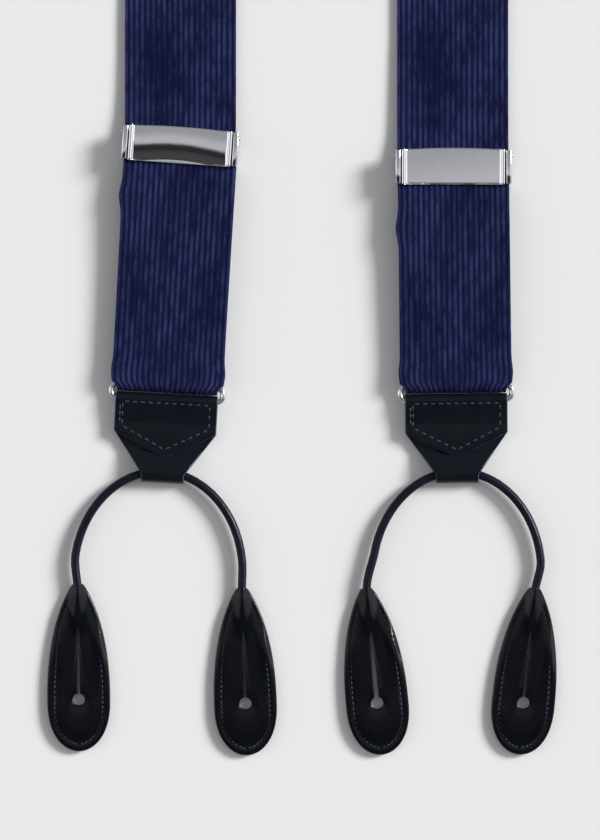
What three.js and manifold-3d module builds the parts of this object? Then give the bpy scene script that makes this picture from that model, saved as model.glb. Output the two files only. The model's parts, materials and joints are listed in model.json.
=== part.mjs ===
// Button-on braces (suspenders): two front straps with hinged clip adjusters, wire rings and leather ends,
// a leather back patch, an elastic and a third leather end at the back.
// They lie on a table, z = 0, face up, with the ears towards -Y and +X to the right. At the shoulder the two
// straps are folded over once, so the back half lies on the front half with its inner side up.
import * as THREE from "three";
import { mergeVertices } from "three/addons/utils/BufferGeometryUtils.js";
import Module from "manifold-3d";

const wasm = await Module();
wasm.setup();

// ---------- Driving dimensions, in millimetres and degrees ----------

// Straps, elastic and what lies between layers.
const strapWidth = 39.6;
const strapThickness = 1.4;
const elasticWidth = 36;
const layerGap = 0.3; // air between two things that rest on each other
const wrapGap = 0.3; // air between a ring's wire and what is folded round it

// Ring: a stadium of round wire.
const ringWire = 2.0;
const ringInside = 38; // room for the strap and the tab between the ring's ends
const ringPitch = 5.5; // from the middle of one long side to the middle of the other

// Adjuster: side posts with a rear bar, and a hinged clip on a pin.
const cheekThickness = 0.5;
const cheekGap = 0.3; // between a cheek and the strap's edge
const postWidth = 1.9;
const postLength = 12;
const postHeight = 1.4;
const rearBarRadius = 0.7;
const rearBarGap = 0.35;
const rearBarBehind = 4.5; // the rear bar lies this far from the adjuster's middle, towards the ring
const clipThickness = 0.8;
const clipOverhang = 0.25; // the clip stands past the posts by this at each end
const clipArch = 0.6; // rise of the clip's arched far edge
const clipRibRadius = 0.75;
const clipSideGap = 0.3;
const pinRadius = 0.45;
const pinGap = 0.1;
const pinAhead = 3.9; // from the adjuster's middle, away from the ring
const barrelWall = 0.4;
const pinHeadRadius = 0.75;
const pinHeadLength = 0.4;
const toothPitch = 2.4;
const toothCount = 14;
const toothThickness = 0.7;
const toothGap = 0.35;

// Strap under the adjuster: it falls away from the rear bar at this slope, and then settles on the table.
const strapFall = 0.267;
const strapFallLength = 12;
const settleRun = [10, 33, 70, 100, 125]; // further along the strap
const settleShare = [0.81, 0.72, 0.4, 0.08, 0]; // share of the height that is left
const sewnEndLength = 20; // the strap's end past the rear bar, sewn down on itself
const splitGap = 0.3; // between the two solids of one strap, hidden under the clip

// Leather tab: one strip, folded round the ring and round the cord.
const leather = 1.1;
const tabWidth = 36.5;
const tabLength = 31.8;
const tabShoulder = 11.5; // length of the straight sides
const tabNarrow = 15.2; // width at the cord
const flapLength = 22.8;
const flapTipWidth = 1;

// Rolled leather cord and ears.
const cordDiameter = 3.0;
const cordGap = 0.3;
const archHalfWidth = 30;
const archHeight = 36;
const earLength = 59.6;
const earWidth = 22.4;
const earWidest = 18; // from the tip to the widest place
const neckWidth = 3.4;
const neckGap = 0.3; // between the cord's end and an ear's neck
const bulgeLength = 17; // how far the rolled neck runs on into the ear
const bulgeHalfWidth = 2.8;
const buttonHole = 4.3;
const buttonHoleUp = 18.5; // from the tip
const slitLength = 22.5;
const slitWidth = 0.6;

// Back: patch, elastic and the rear end.
const patchHeight = 62;
const patchTopWidth = 90;
const patchWaistWidth = 66;
const patchBottomWidth = 43;
const patchLeather = 1.2;
const patchLining = 1.0;
const patchNotch = 6;
const strapInPatch = 40; // the straps end this far below the patch's top edge
const elasticInPatch = 19;
const elasticLength = 120; // from the rear ring to the patch
const elasticEndLength = 18;
const elasticSewnLength = 14;
const foldRadius = 1.65; // middle of the strap, where it turns over at the shoulder
const foldAngle = 18; // how far each strap turns inwards at the shoulder

// Where things lie. The ring's place is that of its side nearer the strap.
const left = {
  name: "left", ringX: -48.3, ringY: 131, loopLength: 85, tilt: -3.1, adjusterTurn: -0.9, strapTurn: 3.1,
  ears: [{ x: -28.2, y: -67.1, turn: 3.6 }, { x: 30.3, y: -65.4, turn: 4.9 }], lean: 1.5,
};
const right = {
  name: "right", ringX: 54.4, ringY: 131, loopLength: 77.4, tilt: 0.8, adjusterTurn: -0.9, strapTurn: -0.8,
  ears: [{ x: -32.9, y: -66.5, turn: 4.6 }, { x: 27.2, y: -67.3, turn: -6.5 }], lean: -3,
};
const rear = {
  name: "rear", ringX: 4.9, ringY: 462,
  ears: [{ x: -29.4, y: -66.9, turn: 2 }, { x: 29.4, y: -66.9, turn: -2 }], lean: 0,
};

// ---------- Sizes that follow from them ----------

const halfStrap = strapThickness / 2;
const ringRadius = ringWire / 2;
const strapWrap = ringRadius + wrapGap + halfStrap; // middle of the strap round a ring's side
const barZ = halfStrap + strapWrap; // height of the ring's wire
const frontLayerZ = barZ + strapWrap;
const rearWrap = rearBarRadius + rearBarGap + halfStrap;
const rearBarZ = halfStrap + rearWrap;
const passingZ = rearBarZ + rearWrap + halfStrap + layerGap + halfStrap; // middle of the strap over the bar
const clipZ = passingZ + halfStrap + layerGap; // underside of the clip
const clipTop = clipZ + clipThickness;
const barrelRadius = pinRadius + pinGap + barrelWall;
const pinZ = clipTop - barrelRadius;
const adjusterHalf = strapWidth / 2 + cheekGap + cheekThickness;
const postInner = adjusterHalf - postWidth;
const clipHalf = postInner - clipSideGap;
const ringStraight = (ringInside + ringWire - ringPitch) / 2; // half the length of a ring's straight side
const foldHalf = Math.min(strapWidth / 2, ringStraight + 0.6); // the strap narrows where it goes round the ring
const halfLeather = leather / 2;
const tabWrap = ringRadius + wrapGap + halfLeather;
const cordRadius = cordDiameter / 2;
const cordZ = leather + cordGap + cordRadius;
const cordWrap = cordRadius + cordGap + halfLeather;
const tabBend = tabWrap + halfLeather - tabLength + halfLeather + cordWrap; // the fold that holds the cord
const archRadius = (archHalfWidth * archHalfWidth) / archHeight; // at the top of the arch
const tunnelSag = archRadius - Math.sqrt(archRadius ** 2 - (tabNarrow / 2) ** 2);
const archTop = tabBend - cordWrap + halfLeather + tunnelSag + cordRadius + 0.2;
const earGapZ = leather + layerGap; // underside of an ear's front leather
const endHeight = cordZ + cordWrap + halfLeather; // thickness of a whole leather end
const rearTop = endHeight + layerGap; // the rear end lies face down, its upper side at this height
const foldedZ = halfStrap + 2 * foldRadius; // middle of a strap after the shoulder fold
const middleX = rear.ringX;
const patchBottomY = rear.ringY + elasticLength;
const patchTopY = patchBottomY + patchHeight;

// ---------- Small geometry helpers ----------

const rad = THREE.MathUtils.degToRad;
const vec = (x, y, z) => new THREE.Vector3(x, y, z);

// A geometry from vertices and triangles, turned so that its faces point outwards.
function closedGeometry(points, triangles) {
  let volume = 0;
  for (const [a, b, c] of triangles)
    volume += points[a].dot(vec(0, 0, 0).crossVectors(points[b], points[c]));
  const index = triangles.flatMap(([a, b, c]) => (volume > 0 ? [a, b, c] : [a, c, b]));
  const geometry = new THREE.BufferGeometry().setFromPoints(points);
  geometry.setIndex(index);
  geometry.computeVertexNormals();
  return geometry;
}

// A strip of even thickness through stations, each with its middle, its half width as a vector, and its normal.
function ribbon(stations, thickness) {
  const points = stations.flatMap(({ at, across, up }) =>
    [[1, 1], [-1, 1], [-1, -1], [1, -1]].map(([side, face]) =>
      at.clone().addScaledVector(across, side).addScaledVector(up, (face * thickness) / 2)));
  const triangles = [];
  for (let i = 0; i + 1 < stations.length; i++)
    for (let k = 0; k < 4; k++) {
      const [a, b] = [4 * i + k, 4 * i + ((k + 1) % 4)];
      triangles.push([a, b, b + 4], [a, b + 4, a + 4]);
    }
  const last = points.length - 4;
  triangles.push([0, 2, 1], [0, 3, 2], [last, last + 1, last + 2], [last, last + 2, last + 3]);
  return closedGeometry(points, triangles);
}

// A strip whose side view is a list of [y, z, half width].
function profileRibbon(profile, thickness) {
  const stations = profile.map(([y, z, half], i) => {
    const [y0, z0] = profile[Math.max(i - 1, 0)];
    const [y1, z1] = profile[Math.min(i + 1, profile.length - 1)];
    return { at: vec(0, y, z), across: vec(half, 0, 0), up: vec(0, z0 - z1, y1 - y0).normalize() };
  });
  return ribbon(stations, thickness);
}

// Points [y, z, half width] on an arc round [y, z], between two angles that count from +Y towards +Z.
function arc([y, z], radius, from, to, half, steps) {
  return Array.from({ length: steps + 1 }, (_, i) => {
    const angle = rad(from + ((to - from) * i) / steps);
    return [y + radius * Math.cos(angle), z + radius * Math.sin(angle), half];
  });
}

// A smooth list of [y, z, half width] through a few such points.
function smooth(points, steps) {
  const curve = new THREE.CatmullRomCurve3(points.map((p) => vec(...p)), false, "centripetal");
  return curve.getPoints(steps).map((p) => [p.x, p.y, p.z]);
}

// A closed round wire along a closed loop of points in a level plane.
function closedWire(loop, radius, sides) {
  const points = loop.flatMap((at, i) => {
    const ahead = loop[(i + 1) % loop.length].clone().sub(loop[(i + loop.length - 1) % loop.length]);
    const aside = vec(ahead.y, -ahead.x, 0).normalize();
    return Array.from({ length: sides }, (_, k) => {
      const angle = (2 * Math.PI * (k + 0.5)) / sides;
      const out = at.clone().addScaledVector(aside, radius * Math.cos(angle));
      return out.add(vec(0, 0, radius * Math.sin(angle)));
    });
  });
  const triangles = [];
  for (let i = 0; i < loop.length; i++)
    for (let k = 0; k < sides; k++) {
      const [a, b] = [i * sides + k, i * sides + ((k + 1) % sides)];
      const next = ((i + 1) % loop.length) * sides;
      const [c, d] = [next + ((k + 1) % sides), next + k];
      triangles.push([a, b, c], [a, c, d]);
    }
  return closedGeometry(points, triangles);
}

// A side view in [y, z], made solid from one x to another.
function extrudeAcross(shape, from, to, curveSegments = 10) {
  const geometry = new THREE.ExtrudeGeometry(shape, { depth: to - from, bevelEnabled: false, curveSegments });
  const turned = new THREE.Matrix4().makeBasis(vec(0, 1, 0), vec(0, 0, 1), vec(1, 0, 0));
  return geometry.applyMatrix4(turned).translate(from, 0, 0);
}

// A plan view in [x, y], made solid from one height to another.
function extrudeUp(shape, from, to, curveSegments = 10) {
  const options = { depth: to - from, bevelEnabled: false, curveSegments };
  return new THREE.ExtrudeGeometry(shape, options).translate(0, 0, from);
}

// A round rod along X.
function rodAcross(radius, from, to, y, z, sides = 16) {
  return new THREE.CylinderGeometry(radius, radius, to - from, sides)
    .rotateZ(Math.PI / 2)
    .translate((from + to) / 2, y, z);
}

function solid(geometry) {
  const bare = (geometry.index ? geometry.toNonIndexed() : geometry.clone());
  for (const name of ["normal", "uv"]) bare.deleteAttribute(name);
  const merged = mergeVertices(bare, 1e-4);
  return new wasm.Manifold(new wasm.Mesh({
    numProp: 3,
    vertProperties: merged.attributes.position.array,
    triVerts: new Uint32Array(merged.index.array),
  }));
}

function geometryOf(manifold) {
  const { vertProperties, triVerts, numProp } = manifold.getMesh();
  const count = vertProperties.length / numProp;
  const position = new Float32Array(3 * count);
  for (let i = 0; i < count; i++)
    position.set(vertProperties.subarray(i * numProp, i * numProp + 3), 3 * i);
  const geometry = new THREE.BufferGeometry().setAttribute("position", new THREE.BufferAttribute(position, 3));
  geometry.setIndex(new THREE.BufferAttribute(new Uint32Array(triVerts), 1));
  geometry.computeVertexNormals();
  return geometry;
}

const join = (...parts) => parts.map(solid).reduce((whole, part) => whole.add(part));

// ---------- Materials ----------

const corduroy = () => new THREE.MeshStandardMaterial({ color: 0x23264f, roughness: 0.95, metalness: 0 });
const darkLeather = () => new THREE.MeshStandardMaterial({ color: 0x11151c, roughness: 0.35, metalness: 0 });
const lining = () => new THREE.MeshStandardMaterial({ color: 0x1b2036, roughness: 0.8, metalness: 0 });
const elasticWeb = () => new THREE.MeshStandardMaterial({ color: 0x1a1e33, roughness: 0.85, metalness: 0 });
const nickel = () => new THREE.MeshStandardMaterial({ color: 0xb4b6ba, roughness: 0.12, metalness: 1 });

function named(name, geometry, material) {
  const mesh = new THREE.Mesh(geometry, material());
  mesh.name = name;
  return mesh;
}

function groupAt(x, y, z, turn, ...children) {
  const group = new THREE.Group();
  group.position.set(x, y, z);
  group.rotation.z = rad(turn);
  group.add(...children);
  return group;
}

// ---------- Leather end: ring, tab, cord and two ears ----------

// The ring's own frame has the middle of its side nearer the strap on x = 0, y = 0.
function ringGeometry() {
  const bend = ringPitch / 2;
  const turn = (sign) => Array.from({ length: 9 }, (_, i) => {
    const angle = rad(90 - 22.5 * i);
    return vec(sign * (ringStraight + bend * Math.cos(angle)), bend * (sign * Math.sin(angle) - 1), barZ);
  });
  return closedWire([...turn(1), ...turn(-1)], ringRadius, 10);
}

// Half the tab's width at a distance from the ring's lower side: straight, and then narrower to the cord.
function tabHalf(y) {
  const share = THREE.MathUtils.clamp((-y - tabShoulder) / (-tabBend - tabShoulder), 0, 1);
  return THREE.MathUtils.lerp(tabWidth, tabNarrow, share) / 2;
}

// The tab's frame has the ring's lower side on x = 0, y = 0. The strip starts at the flap's tip, goes over the
// ring's side, down behind, round the cord and back up under the flap.
function tabGeometry() {
  const half = tabWidth / 2;
  const frontZ = leather + layerGap + halfLeather;
  const flapZ = frontZ + leather + layerGap;
  const flapEnd = tabWrap + halfLeather - flapLength;
  const overBar = barZ + tabWrap;
  const bendStraight = tabBend + 1.5 * cordRadius;
  const backZ = halfLeather;
  const profile = [
    [flapEnd, flapZ, flapTipWidth / 2],
    [-tabShoulder, flapZ, half],
    [-8, flapZ, half],
    [-4, (flapZ + overBar) / 2, half],
    ...arc([0, barZ], tabWrap, 90, -90, half, 10),
    [-3, backZ + 0.15, half],
    [-6, backZ, half],
    [-tabShoulder, backZ, half],
    [(bendStraight - tabShoulder) / 2, backZ, tabHalf((bendStraight - tabShoulder) / 2)],
    [bendStraight, backZ, tabHalf(bendStraight)],
    ...arc([tabBend, cordZ], cordWrap, 270, 90, tabNarrow / 2, 12),
    [bendStraight, cordZ + cordWrap, tabHalf(bendStraight)],
    [bendStraight + 3, (cordZ + cordWrap + frontZ) / 2 + 0.4, tabHalf(bendStraight + 3)],
    [bendStraight + 6.5, frontZ, tabHalf(bendStraight + 6.5)],
    [-tabShoulder, frontZ, half - 0.3],
    [-ringRadius - wrapGap - 2.2, frontZ, half - 0.3],
  ];
  return profileRibbon(profile, leather);
}

// The cord's middle line: half an ellipse that leans about the middle of its top's curvature, with a short leg
// bent from each foot of it to an ear's neck.
function cordPoints(end) {
  const middle = new THREE.Vector2(0, archTop - archRadius);
  const footAngle = 80;
  const arch = Array.from({ length: 17 }, (_, i) => {
    const angle = rad(-footAngle + (2 * footAngle * i) / 16);
    const y = archTop - archHeight * (1 - Math.cos(angle));
    return new THREE.Vector2(archHalfWidth * Math.sin(angle), y).rotateAround(middle, rad(end.lean));
  });
  const leg = (ear, foot, before) => {
    const down = new THREE.Vector2(0, -1).rotateAround(new THREE.Vector2(), rad(ear.turn));
    const neck = new THREE.Vector2(ear.x, ear.y).addScaledVector(down, -neckGap);
    const reach = foot.distanceTo(neck) / 3;
    const leaving = foot.clone().sub(before).normalize();
    const curve = new THREE.CubicBezierCurve(
      foot, foot.clone().addScaledVector(leaving, reach), neck.clone().addScaledVector(down, -reach), neck);
    return curve.getPoints(4).slice(1);
  };
  const start = leg(end.ears[0], arch[0], arch[1]).reverse();
  const finish = leg(end.ears[1], arch[16], arch[15]);
  return [...start, ...arch, ...finish].map((p) => vec(p.x, p.y, cordZ));
}

function cordGeometry(end) {
  const section = new THREE.Shape();
  const sides = 8;
  for (let k = 0; k < sides; k++) {
    const angle = (2 * Math.PI * (k + 0.5)) / sides;
    section[k ? "lineTo" : "moveTo"](cordRadius * Math.cos(angle), cordRadius * Math.sin(angle));
  }
  const extrudePath = new THREE.CatmullRomCurve3(cordPoints(end), false, "centripetal");
  return new THREE.ExtrudeGeometry(section, { steps: 44, bevelEnabled: false, extrudePath });
}

// Half an ear's width at a height above its tip: a blunt round end, and a long taper to the neck.
function earHalf(height) {
  const widest = earWidth / 2;
  if (height < earWidest) return widest * Math.sqrt(1 - ((earWidest - height) / earWidest) ** 2.3);
  const share = Math.min((height - earWidest) / (earLength - earWidest), 1);
  return neckWidth / 2 + (widest - neckWidth / 2) * (1 - share ** 2.3) ** 0.85;
}

// Heights above the tip, closer together at both ends.
function earHeights(count) {
  const tip = 0.12;
  return Array.from({ length: count + 1 }, (_, i) =>
    tip + ((earLength - tip) * (1 - Math.cos((Math.PI * i) / count))) / 2);
}

// The buttonhole is a round hole with a slit above it.
function keyhole() {
  const shape = new THREE.Shape();
  const radius = buttonHole / 2;
  const half = slitWidth / 2;
  const up = buttonHoleUp - earLength;
  const reach = Math.asin(half / radius);
  shape.moveTo(half, up + radius + slitLength);
  shape.lineTo(-half, up + radius + slitLength);
  shape.absarc(0, up, radius, Math.PI / 2 + reach, Math.PI / 2 - reach + 2 * Math.PI, false);
  return shape;
}

function earBackGeometry() {
  const heights = earHeights(18);
  const sideOf = (sign) => heights.map((h) => new THREE.Vector2(sign * earHalf(h), h - earLength));
  const shape = new THREE.Shape([...sideOf(1), ...sideOf(-1).reverse()]);
  const outline = extrudeUp(shape, 0, leather);
  return geometryOf(solid(outline).subtract(solid(extrudeUp(keyhole(), -1, leather + 1, 6))));
}

// The front leather carries the rolled neck, a round bulge that fades out towards the buttonhole's slit.
function earFrontGeometry() {
  const heights = earHeights(16);
  const columns = 6;
  const flat = earGapZ + leather;
  const crest = cordZ + cordRadius - flat;
  const topAt = (x, y) => {
    const along = 1 - THREE.MathUtils.smoothstep(-y, 0, bulgeLength);
    const beside = Math.min(Math.abs(x) / bulgeHalfWidth, 1);
    return flat + crest * along * Math.cos((Math.PI / 2) * beside) ** 2;
  };
  const rows = heights.map((h) => Array.from({ length: columns + 1 }, (_, j) => {
    const side = (2 * j) / columns - 1;
    const spread = Math.abs(side) ** (h > earWidest ? 1.5 : 1) * Math.sign(side);
    return [spread * earHalf(h), h - earLength];
  }));
  const top = rows.flat().map(([x, y]) => vec(x, y, topAt(x, y)));
  const bottom = rows.flat().map(([x, y]) => vec(x, y, earGapZ));
  const width = columns + 1;
  const triangles = [];
  const quad = (a, b, c, d) => triangles.push([a, b, c], [a, c, d]);
  const under = top.length;
  for (let i = 0; i + 1 < rows.length; i++) {
    for (let j = 0; j < columns; j++) {
      const a = i * width + j;
      quad(a, a + 1, a + 1 + width, a + width);
      quad(under + a, under + a + width, under + a + 1 + width, under + a + 1);
    }
    const [low, high] = [i * width, i * width + columns];
    quad(low, low + width, under + low + width, under + low);
    quad(high, under + high, under + high + width, high + width);
  }
  for (let j = 0; j < columns; j++) {
    const far = (rows.length - 1) * width + j;
    quad(j, under + j, under + j + 1, j + 1);
    quad(far, far + 1, under + far + 1, under + far);
  }
  const body = solid(closedGeometry([...top, ...bottom], triangles));
  return geometryOf(body.subtract(solid(extrudeUp(keyhole(), 0, endHeight + 1, 6))));
}

// A whole end hangs in a group whose origin is under the ring's side nearer the strap.
function leatherEnd(end) {
  const ears = end.ears.map(({ x, y, turn }, i) => groupAt(x, y, 0, turn,
    named(`${end.name}_ear_${i + 1}_front`, earFrontGeometry(), darkLeather),
    named(`${end.name}_ear_${i + 1}_back`, earBackGeometry(), darkLeather)));
  const tab = groupAt(0, -ringPitch, 0, 0,
    named(`${end.name}_tab`, tabGeometry(), darkLeather),
    named(`${end.name}_rolled_cord`, cordGeometry(end), darkLeather),
    ...ears);
  return [named(`${end.name}_ring`, ringGeometry(), nickel), tab];
}

// ---------- Adjuster ----------

// Its frame has the adjuster's middle on x = 0, y = 0. The two cheeks stand beside the strap, the posts lie
// over its edges, and the rear bar holds the strap's sewn end.
function adjusterFrame() {
  const lug = 2 * rearBarRadius;
  const top = clipZ + postHeight;
  const front = postLength / 2;
  const cheek = new THREE.Shape();
  cheek.moveTo(-front, top - 0.4);
  cheek.lineTo(-rearBarBehind - lug, rearBarZ);
  cheek.absarc(-rearBarBehind, rearBarZ, lug, Math.PI, 2 * Math.PI, false);
  cheek.lineTo(front, pinZ - barrelRadius);
  cheek.lineTo(front, top - 0.4);
  cheek.lineTo(front - 0.4, top);
  cheek.lineTo(-front + 0.4, top);
  const post = new THREE.Shape();
  post.moveTo(-front, clipZ);
  post.lineTo(front, clipZ);
  post.lineTo(front, top - 0.4);
  post.lineTo(front - 0.4, top);
  post.lineTo(-front + 0.4, top);
  post.lineTo(-front, top - 0.4);
  const cheekInner = adjusterHalf - cheekThickness;
  const whole = join(
    extrudeAcross(cheek, cheekInner, adjusterHalf),
    extrudeAcross(cheek, -adjusterHalf, -cheekInner),
    extrudeAcross(post, postInner, adjusterHalf - 0.1),
    extrudeAcross(post, 0.1 - adjusterHalf, -postInner),
    rodAcross(rearBarRadius, 0.2 - adjusterHalf, adjusterHalf - 0.2, -rearBarBehind, rearBarZ),
  );
  const hole = rodAcross(pinRadius + pinGap, -adjusterHalf - 1, adjusterHalf + 1, pinAhead, pinZ);
  return geometryOf(whole.subtract(solid(hole)));
}

// The strap's upper face under a point ahead of the rear bar.
const strapTopAt = (y) => passingZ + halfStrap - strapFall * (y + rearBarBehind);

// The clip: a plate with an arched far edge, a rounded rib down each side, a barrel for the pin and teeth.
function adjusterClip() {
  const near = -postLength / 2 - clipOverhang;
  const far = postLength / 2 + clipOverhang;
  const plate = new THREE.Shape();
  plate.moveTo(-clipHalf, near);
  plate.lineTo(clipHalf, near);
  plate.lineTo(clipHalf, far);
  plate.quadraticCurveTo(0, far + 2 * clipArch, -clipHalf, far);
  const rib = (sign) => new THREE.CylinderGeometry(clipRibRadius, clipRibRadius, far - near, 12)
    .translate(sign * (clipHalf - clipRibRadius), (near + far) / 2, clipZ + clipRibRadius);
  const comb = new THREE.Shape();
  const half = (toothPitch * toothCount) / 2;
  const tip = strapTopAt(pinAhead) + toothGap;
  comb.moveTo(-half, pinZ);
  comb.lineTo(half, pinZ);
  for (let i = 0; i < toothCount; i++) {
    const x = half - i * toothPitch;
    comb.lineTo(x, pinZ - barrelRadius * 0.8);
    comb.lineTo(x - toothPitch / 2, tip);
  }
  comb.lineTo(-half, pinZ - barrelRadius * 0.8);
  const teeth = new THREE.ExtrudeGeometry(comb, { depth: toothThickness, bevelEnabled: false })
    .applyMatrix4(new THREE.Matrix4().makeBasis(vec(1, 0, 0), vec(0, 0, 1), vec(0, -1, 0)))
    .translate(0, pinAhead + toothThickness / 2, 0);
  const whole = join(
    extrudeUp(plate, clipZ, clipTop, 8), rib(1), rib(-1),
    rodAcross(barrelRadius, -clipHalf, clipHalf, pinAhead, pinZ), teeth,
  );
  const hole = rodAcross(pinRadius + pinGap, -clipHalf - 1, clipHalf + 1, pinAhead, pinZ);
  return geometryOf(whole.subtract(solid(hole)));
}

function adjusterPin() {
  const outer = adjusterHalf + layerGap;
  return geometryOf(join(
    rodAcross(pinRadius, -outer, outer, pinAhead, pinZ),
    rodAcross(pinHeadRadius, outer - 0.1, outer + pinHeadLength, pinAhead, pinZ),
    rodAcross(pinHeadRadius, -outer - pinHeadLength, 0.1 - outer, pinAhead, pinZ),
  ));
}

// ---------- Straps ----------

// The strap from the adjuster down to the ring, round it, up behind and round the adjuster's rear bar. Its frame
// has the ring's side on x = 0, y = 0.
function strapLoop(loopLength) {
  const half = strapWidth / 2;
  const bar = loopLength - rearBarBehind;
  const sewnZ = strapThickness + layerGap + halfStrap;
  const profile = [
    [bar + splitGap, passingZ - 0.03, half],
    [bar - 3, passingZ, half],
    [bar - 8, passingZ - 0.05, half],
    [bar - 20, passingZ - 0.25, half],
    [bar / 2, (passingZ + frontLayerZ) / 2 - 0.2, half],
    [8, frontLayerZ + 0.05, half],
    [4, frontLayerZ + 0.02, half],
    ...arc([0, barZ], strapWrap, 90, 270, foldHalf, 12),
    [4, halfStrap, half],
    [bar / 2, halfStrap, half],
    [bar - 8, halfStrap, half],
    ...arc([bar, rearBarZ], rearWrap, -90, 90, half, 12),
    [bar - 3, rearBarZ + rearWrap - 0.5, half],
    [bar - 6, (rearBarZ + rearWrap + sewnZ) / 2 - 0.1, half],
    [bar - 9, sewnZ + 0.1, half],
    [bar - 12, sewnZ, half],
    [bar - sewnEndLength, sewnZ, half],
  ];
  return profileRibbon(profile, strapThickness);
}

// Height of a strap's middle at a distance past the rear bar, on its way down to the table.
function strapHeight(distance) {
  const low = passingZ - strapFall * strapFallLength;
  const points = [
    [0, passingZ], [strapFallLength / 2, (passingZ + low) / 2], [strapFallLength, low],
    ...settleRun.map((run, i) => [strapFallLength + run, halfStrap + (low - halfStrap) * settleShare[i]]),
  ];
  if (distance >= points.at(-1)[0]) return halfStrap;
  const after = Math.max(points.findIndex(([at]) => at > distance), 1);
  const [[a, za], [b, zb]] = [points[after - 1], points[after]];
  return THREE.MathUtils.lerp(za, zb, (distance - a) / (b - a));
}

// The strap from the adjuster up to the shoulder, over it, and in to the patch. It is laid out straight along
// +Y and then bent over a slanting line, so it keeps its width and its length.
function shoulderStrap(side, adjusterX, adjusterY) {
  const inward = side.name === "left" ? 1 : -1;
  const slant = rad(foldAngle / 2) * inward;
  const turnedIn = Math.tan(rad(foldAngle));
  const strapAside = strapWidth / (2 * Math.cos(rad(foldAngle)));
  const crease = new THREE.Vector2(
    adjusterX, patchTopY + (Math.abs(adjusterX - middleX) - strapAside) / turnedIn);
  const along = new THREE.Vector2(Math.cos(slant), Math.sin(slant));
  const ahead = new THREE.Vector2(-Math.sin(slant), Math.cos(slant));
  const turnLength = Math.PI * foldRadius;
  const bend = (x, y, z) => {
    const flat = new THREE.Vector2(x, y).sub(crease);
    const [v, u] = [flat.dot(along), flat.dot(ahead)];
    const angle = THREE.MathUtils.clamp(u / foldRadius, 0, Math.PI);
    const past = u <= 0 ? u : foldRadius * Math.sin(angle) - Math.max(u - turnLength, 0);
    const at = crease.clone().addScaledVector(along, v).addScaledVector(ahead, past);
    const up = vec(-Math.sin(angle) * ahead.x, -Math.sin(angle) * ahead.y, Math.cos(angle));
    return { at: vec(at.x, at.y, z + foldRadius * (1 - Math.cos(angle))), up };
  };
  const barY = adjusterY - rearBarBehind;
  const start = barY + 2 * splitGap;
  const settled = barY + strapFallLength + settleRun.at(-1);
  const pastTurn = patchTopY - crease.y - strapInPatch;
  const spare = strapWidth * turnedIn; // cut off level, inside the patch
  const end = crease.y + turnLength / Math.cos(slant) - pastTurn / Math.cos(rad(foldAngle)) + spare;
  const laid = [
    ...[0, 3, 6, strapFallLength, 17, 22, 33, 45, 63, 82, 97, 112].map((d) => [start + d, 0]),
    [settled, 0], [(settled + crease.y) / 2, 0], [crease.y - 25, 0],
    ...Array.from({ length: 11 }, (_, i) => [crease.y + (turnLength * i) / 10 / Math.cos(slant), 1]),
    [crease.y + 25, 0], [end, 0],
  ];
  const stations = laid.map(([y, slanted]) => {
    const swing = rad(-side.strapTurn) * (1 - THREE.MathUtils.smoothstep(y, start, start + 30));
    const edge = [Math.cos(swing), slanted ? Math.tan(slant) : Math.sin(swing)].map((s) => (s * strapWidth) / 2);
    const height = strapHeight(y - barY);
    const fall = strapHeight(y - barY + 1) - strapHeight(y - barY - 1);
    const sides = [1, -1].map((sign) => bend(adjusterX + sign * edge[0], y + sign * edge[1], height));
    const middle = bend(adjusterX, y, height);
    const across = sides[0].at.clone().sub(sides[1].at).multiplyScalar(0.5);
    const up = middle.up.clone().add(vec(0, -fall / 2, 0)).normalize();
    return { at: sides[0].at.clone().add(sides[1].at).multiplyScalar(0.5), across, up };
  });
  const strap = solid(ribbon(stations, strapThickness));
  const [reach, layer] = [200, 2 * strapThickness];
  const otherSide = new THREE.BoxGeometry(reach, reach, layer);
  otherSide.translate(middleX + (inward * (reach - layerGap)) / 2, patchTopY, foldedZ);
  const below = new THREE.BoxGeometry(reach, patchHeight, layer);
  below.translate(middleX, patchTopY - strapInPatch - patchHeight / 2, foldedZ);
  return geometryOf(strap.subtract(solid(otherSide)).subtract(solid(below)));
}

// ---------- Back patch and elastic ----------

function patchShape() {
  const shape = new THREE.Shape();
  const [top, waist, bottom] = [patchTopWidth / 2, patchWaistWidth / 2, patchBottomWidth / 2];
  shape.moveTo(0, -patchNotch);
  shape.lineTo(-top + 4, 0);
  shape.quadraticCurveTo(-top - 1, 0, -top, -5);
  shape.quadraticCurveTo(-waist - 3, -strapInPatch / 2, -waist, -strapInPatch);
  shape.quadraticCurveTo(-bottom - 2, -patchHeight + 10, -bottom, -patchHeight);
  shape.lineTo(bottom, -patchHeight);
  shape.quadraticCurveTo(bottom + 2, -patchHeight + 10, waist, -strapInPatch);
  shape.quadraticCurveTo(waist + 3, -strapInPatch / 2, top, -5);
  shape.quadraticCurveTo(top + 1, 0, top - 4, 0);
  return shape;
}

function backElastic() {
  const half = elasticWidth / 2;
  const lowZ = rearTop - frontLayerZ;
  const profile = smooth([
    [elasticLength + elasticInPatch, foldedZ, half],
    [elasticLength, foldedZ, half],
    [elasticLength * 0.7, foldedZ * 0.6 + lowZ * 0.4, half],
    [elasticLength * 0.35, lowZ + 0.5, half],
    [elasticEndLength + splitGap, lowZ + 0.35, half],
  ], 16);
  return profileRibbon(profile, strapThickness);
}

// The elastic's lower end in the rear end's own frame, which is turned over: round the ring and sewn to itself.
function elasticEnd() {
  const half = elasticWidth / 2;
  const profile = [
    [elasticEndLength, frontLayerZ - 0.35, half],
    [elasticEndLength / 2, frontLayerZ - 0.15, half],
    ...arc([0, barZ], strapWrap, 90, 270, half, 12),
    [elasticSewnLength / 2, halfStrap + 0.7, half],
    [elasticSewnLength, frontLayerZ - 0.4 - strapThickness - layerGap, half],
  ];
  return profileRibbon(profile, strapThickness);
}

// ---------- Assembly ----------

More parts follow.
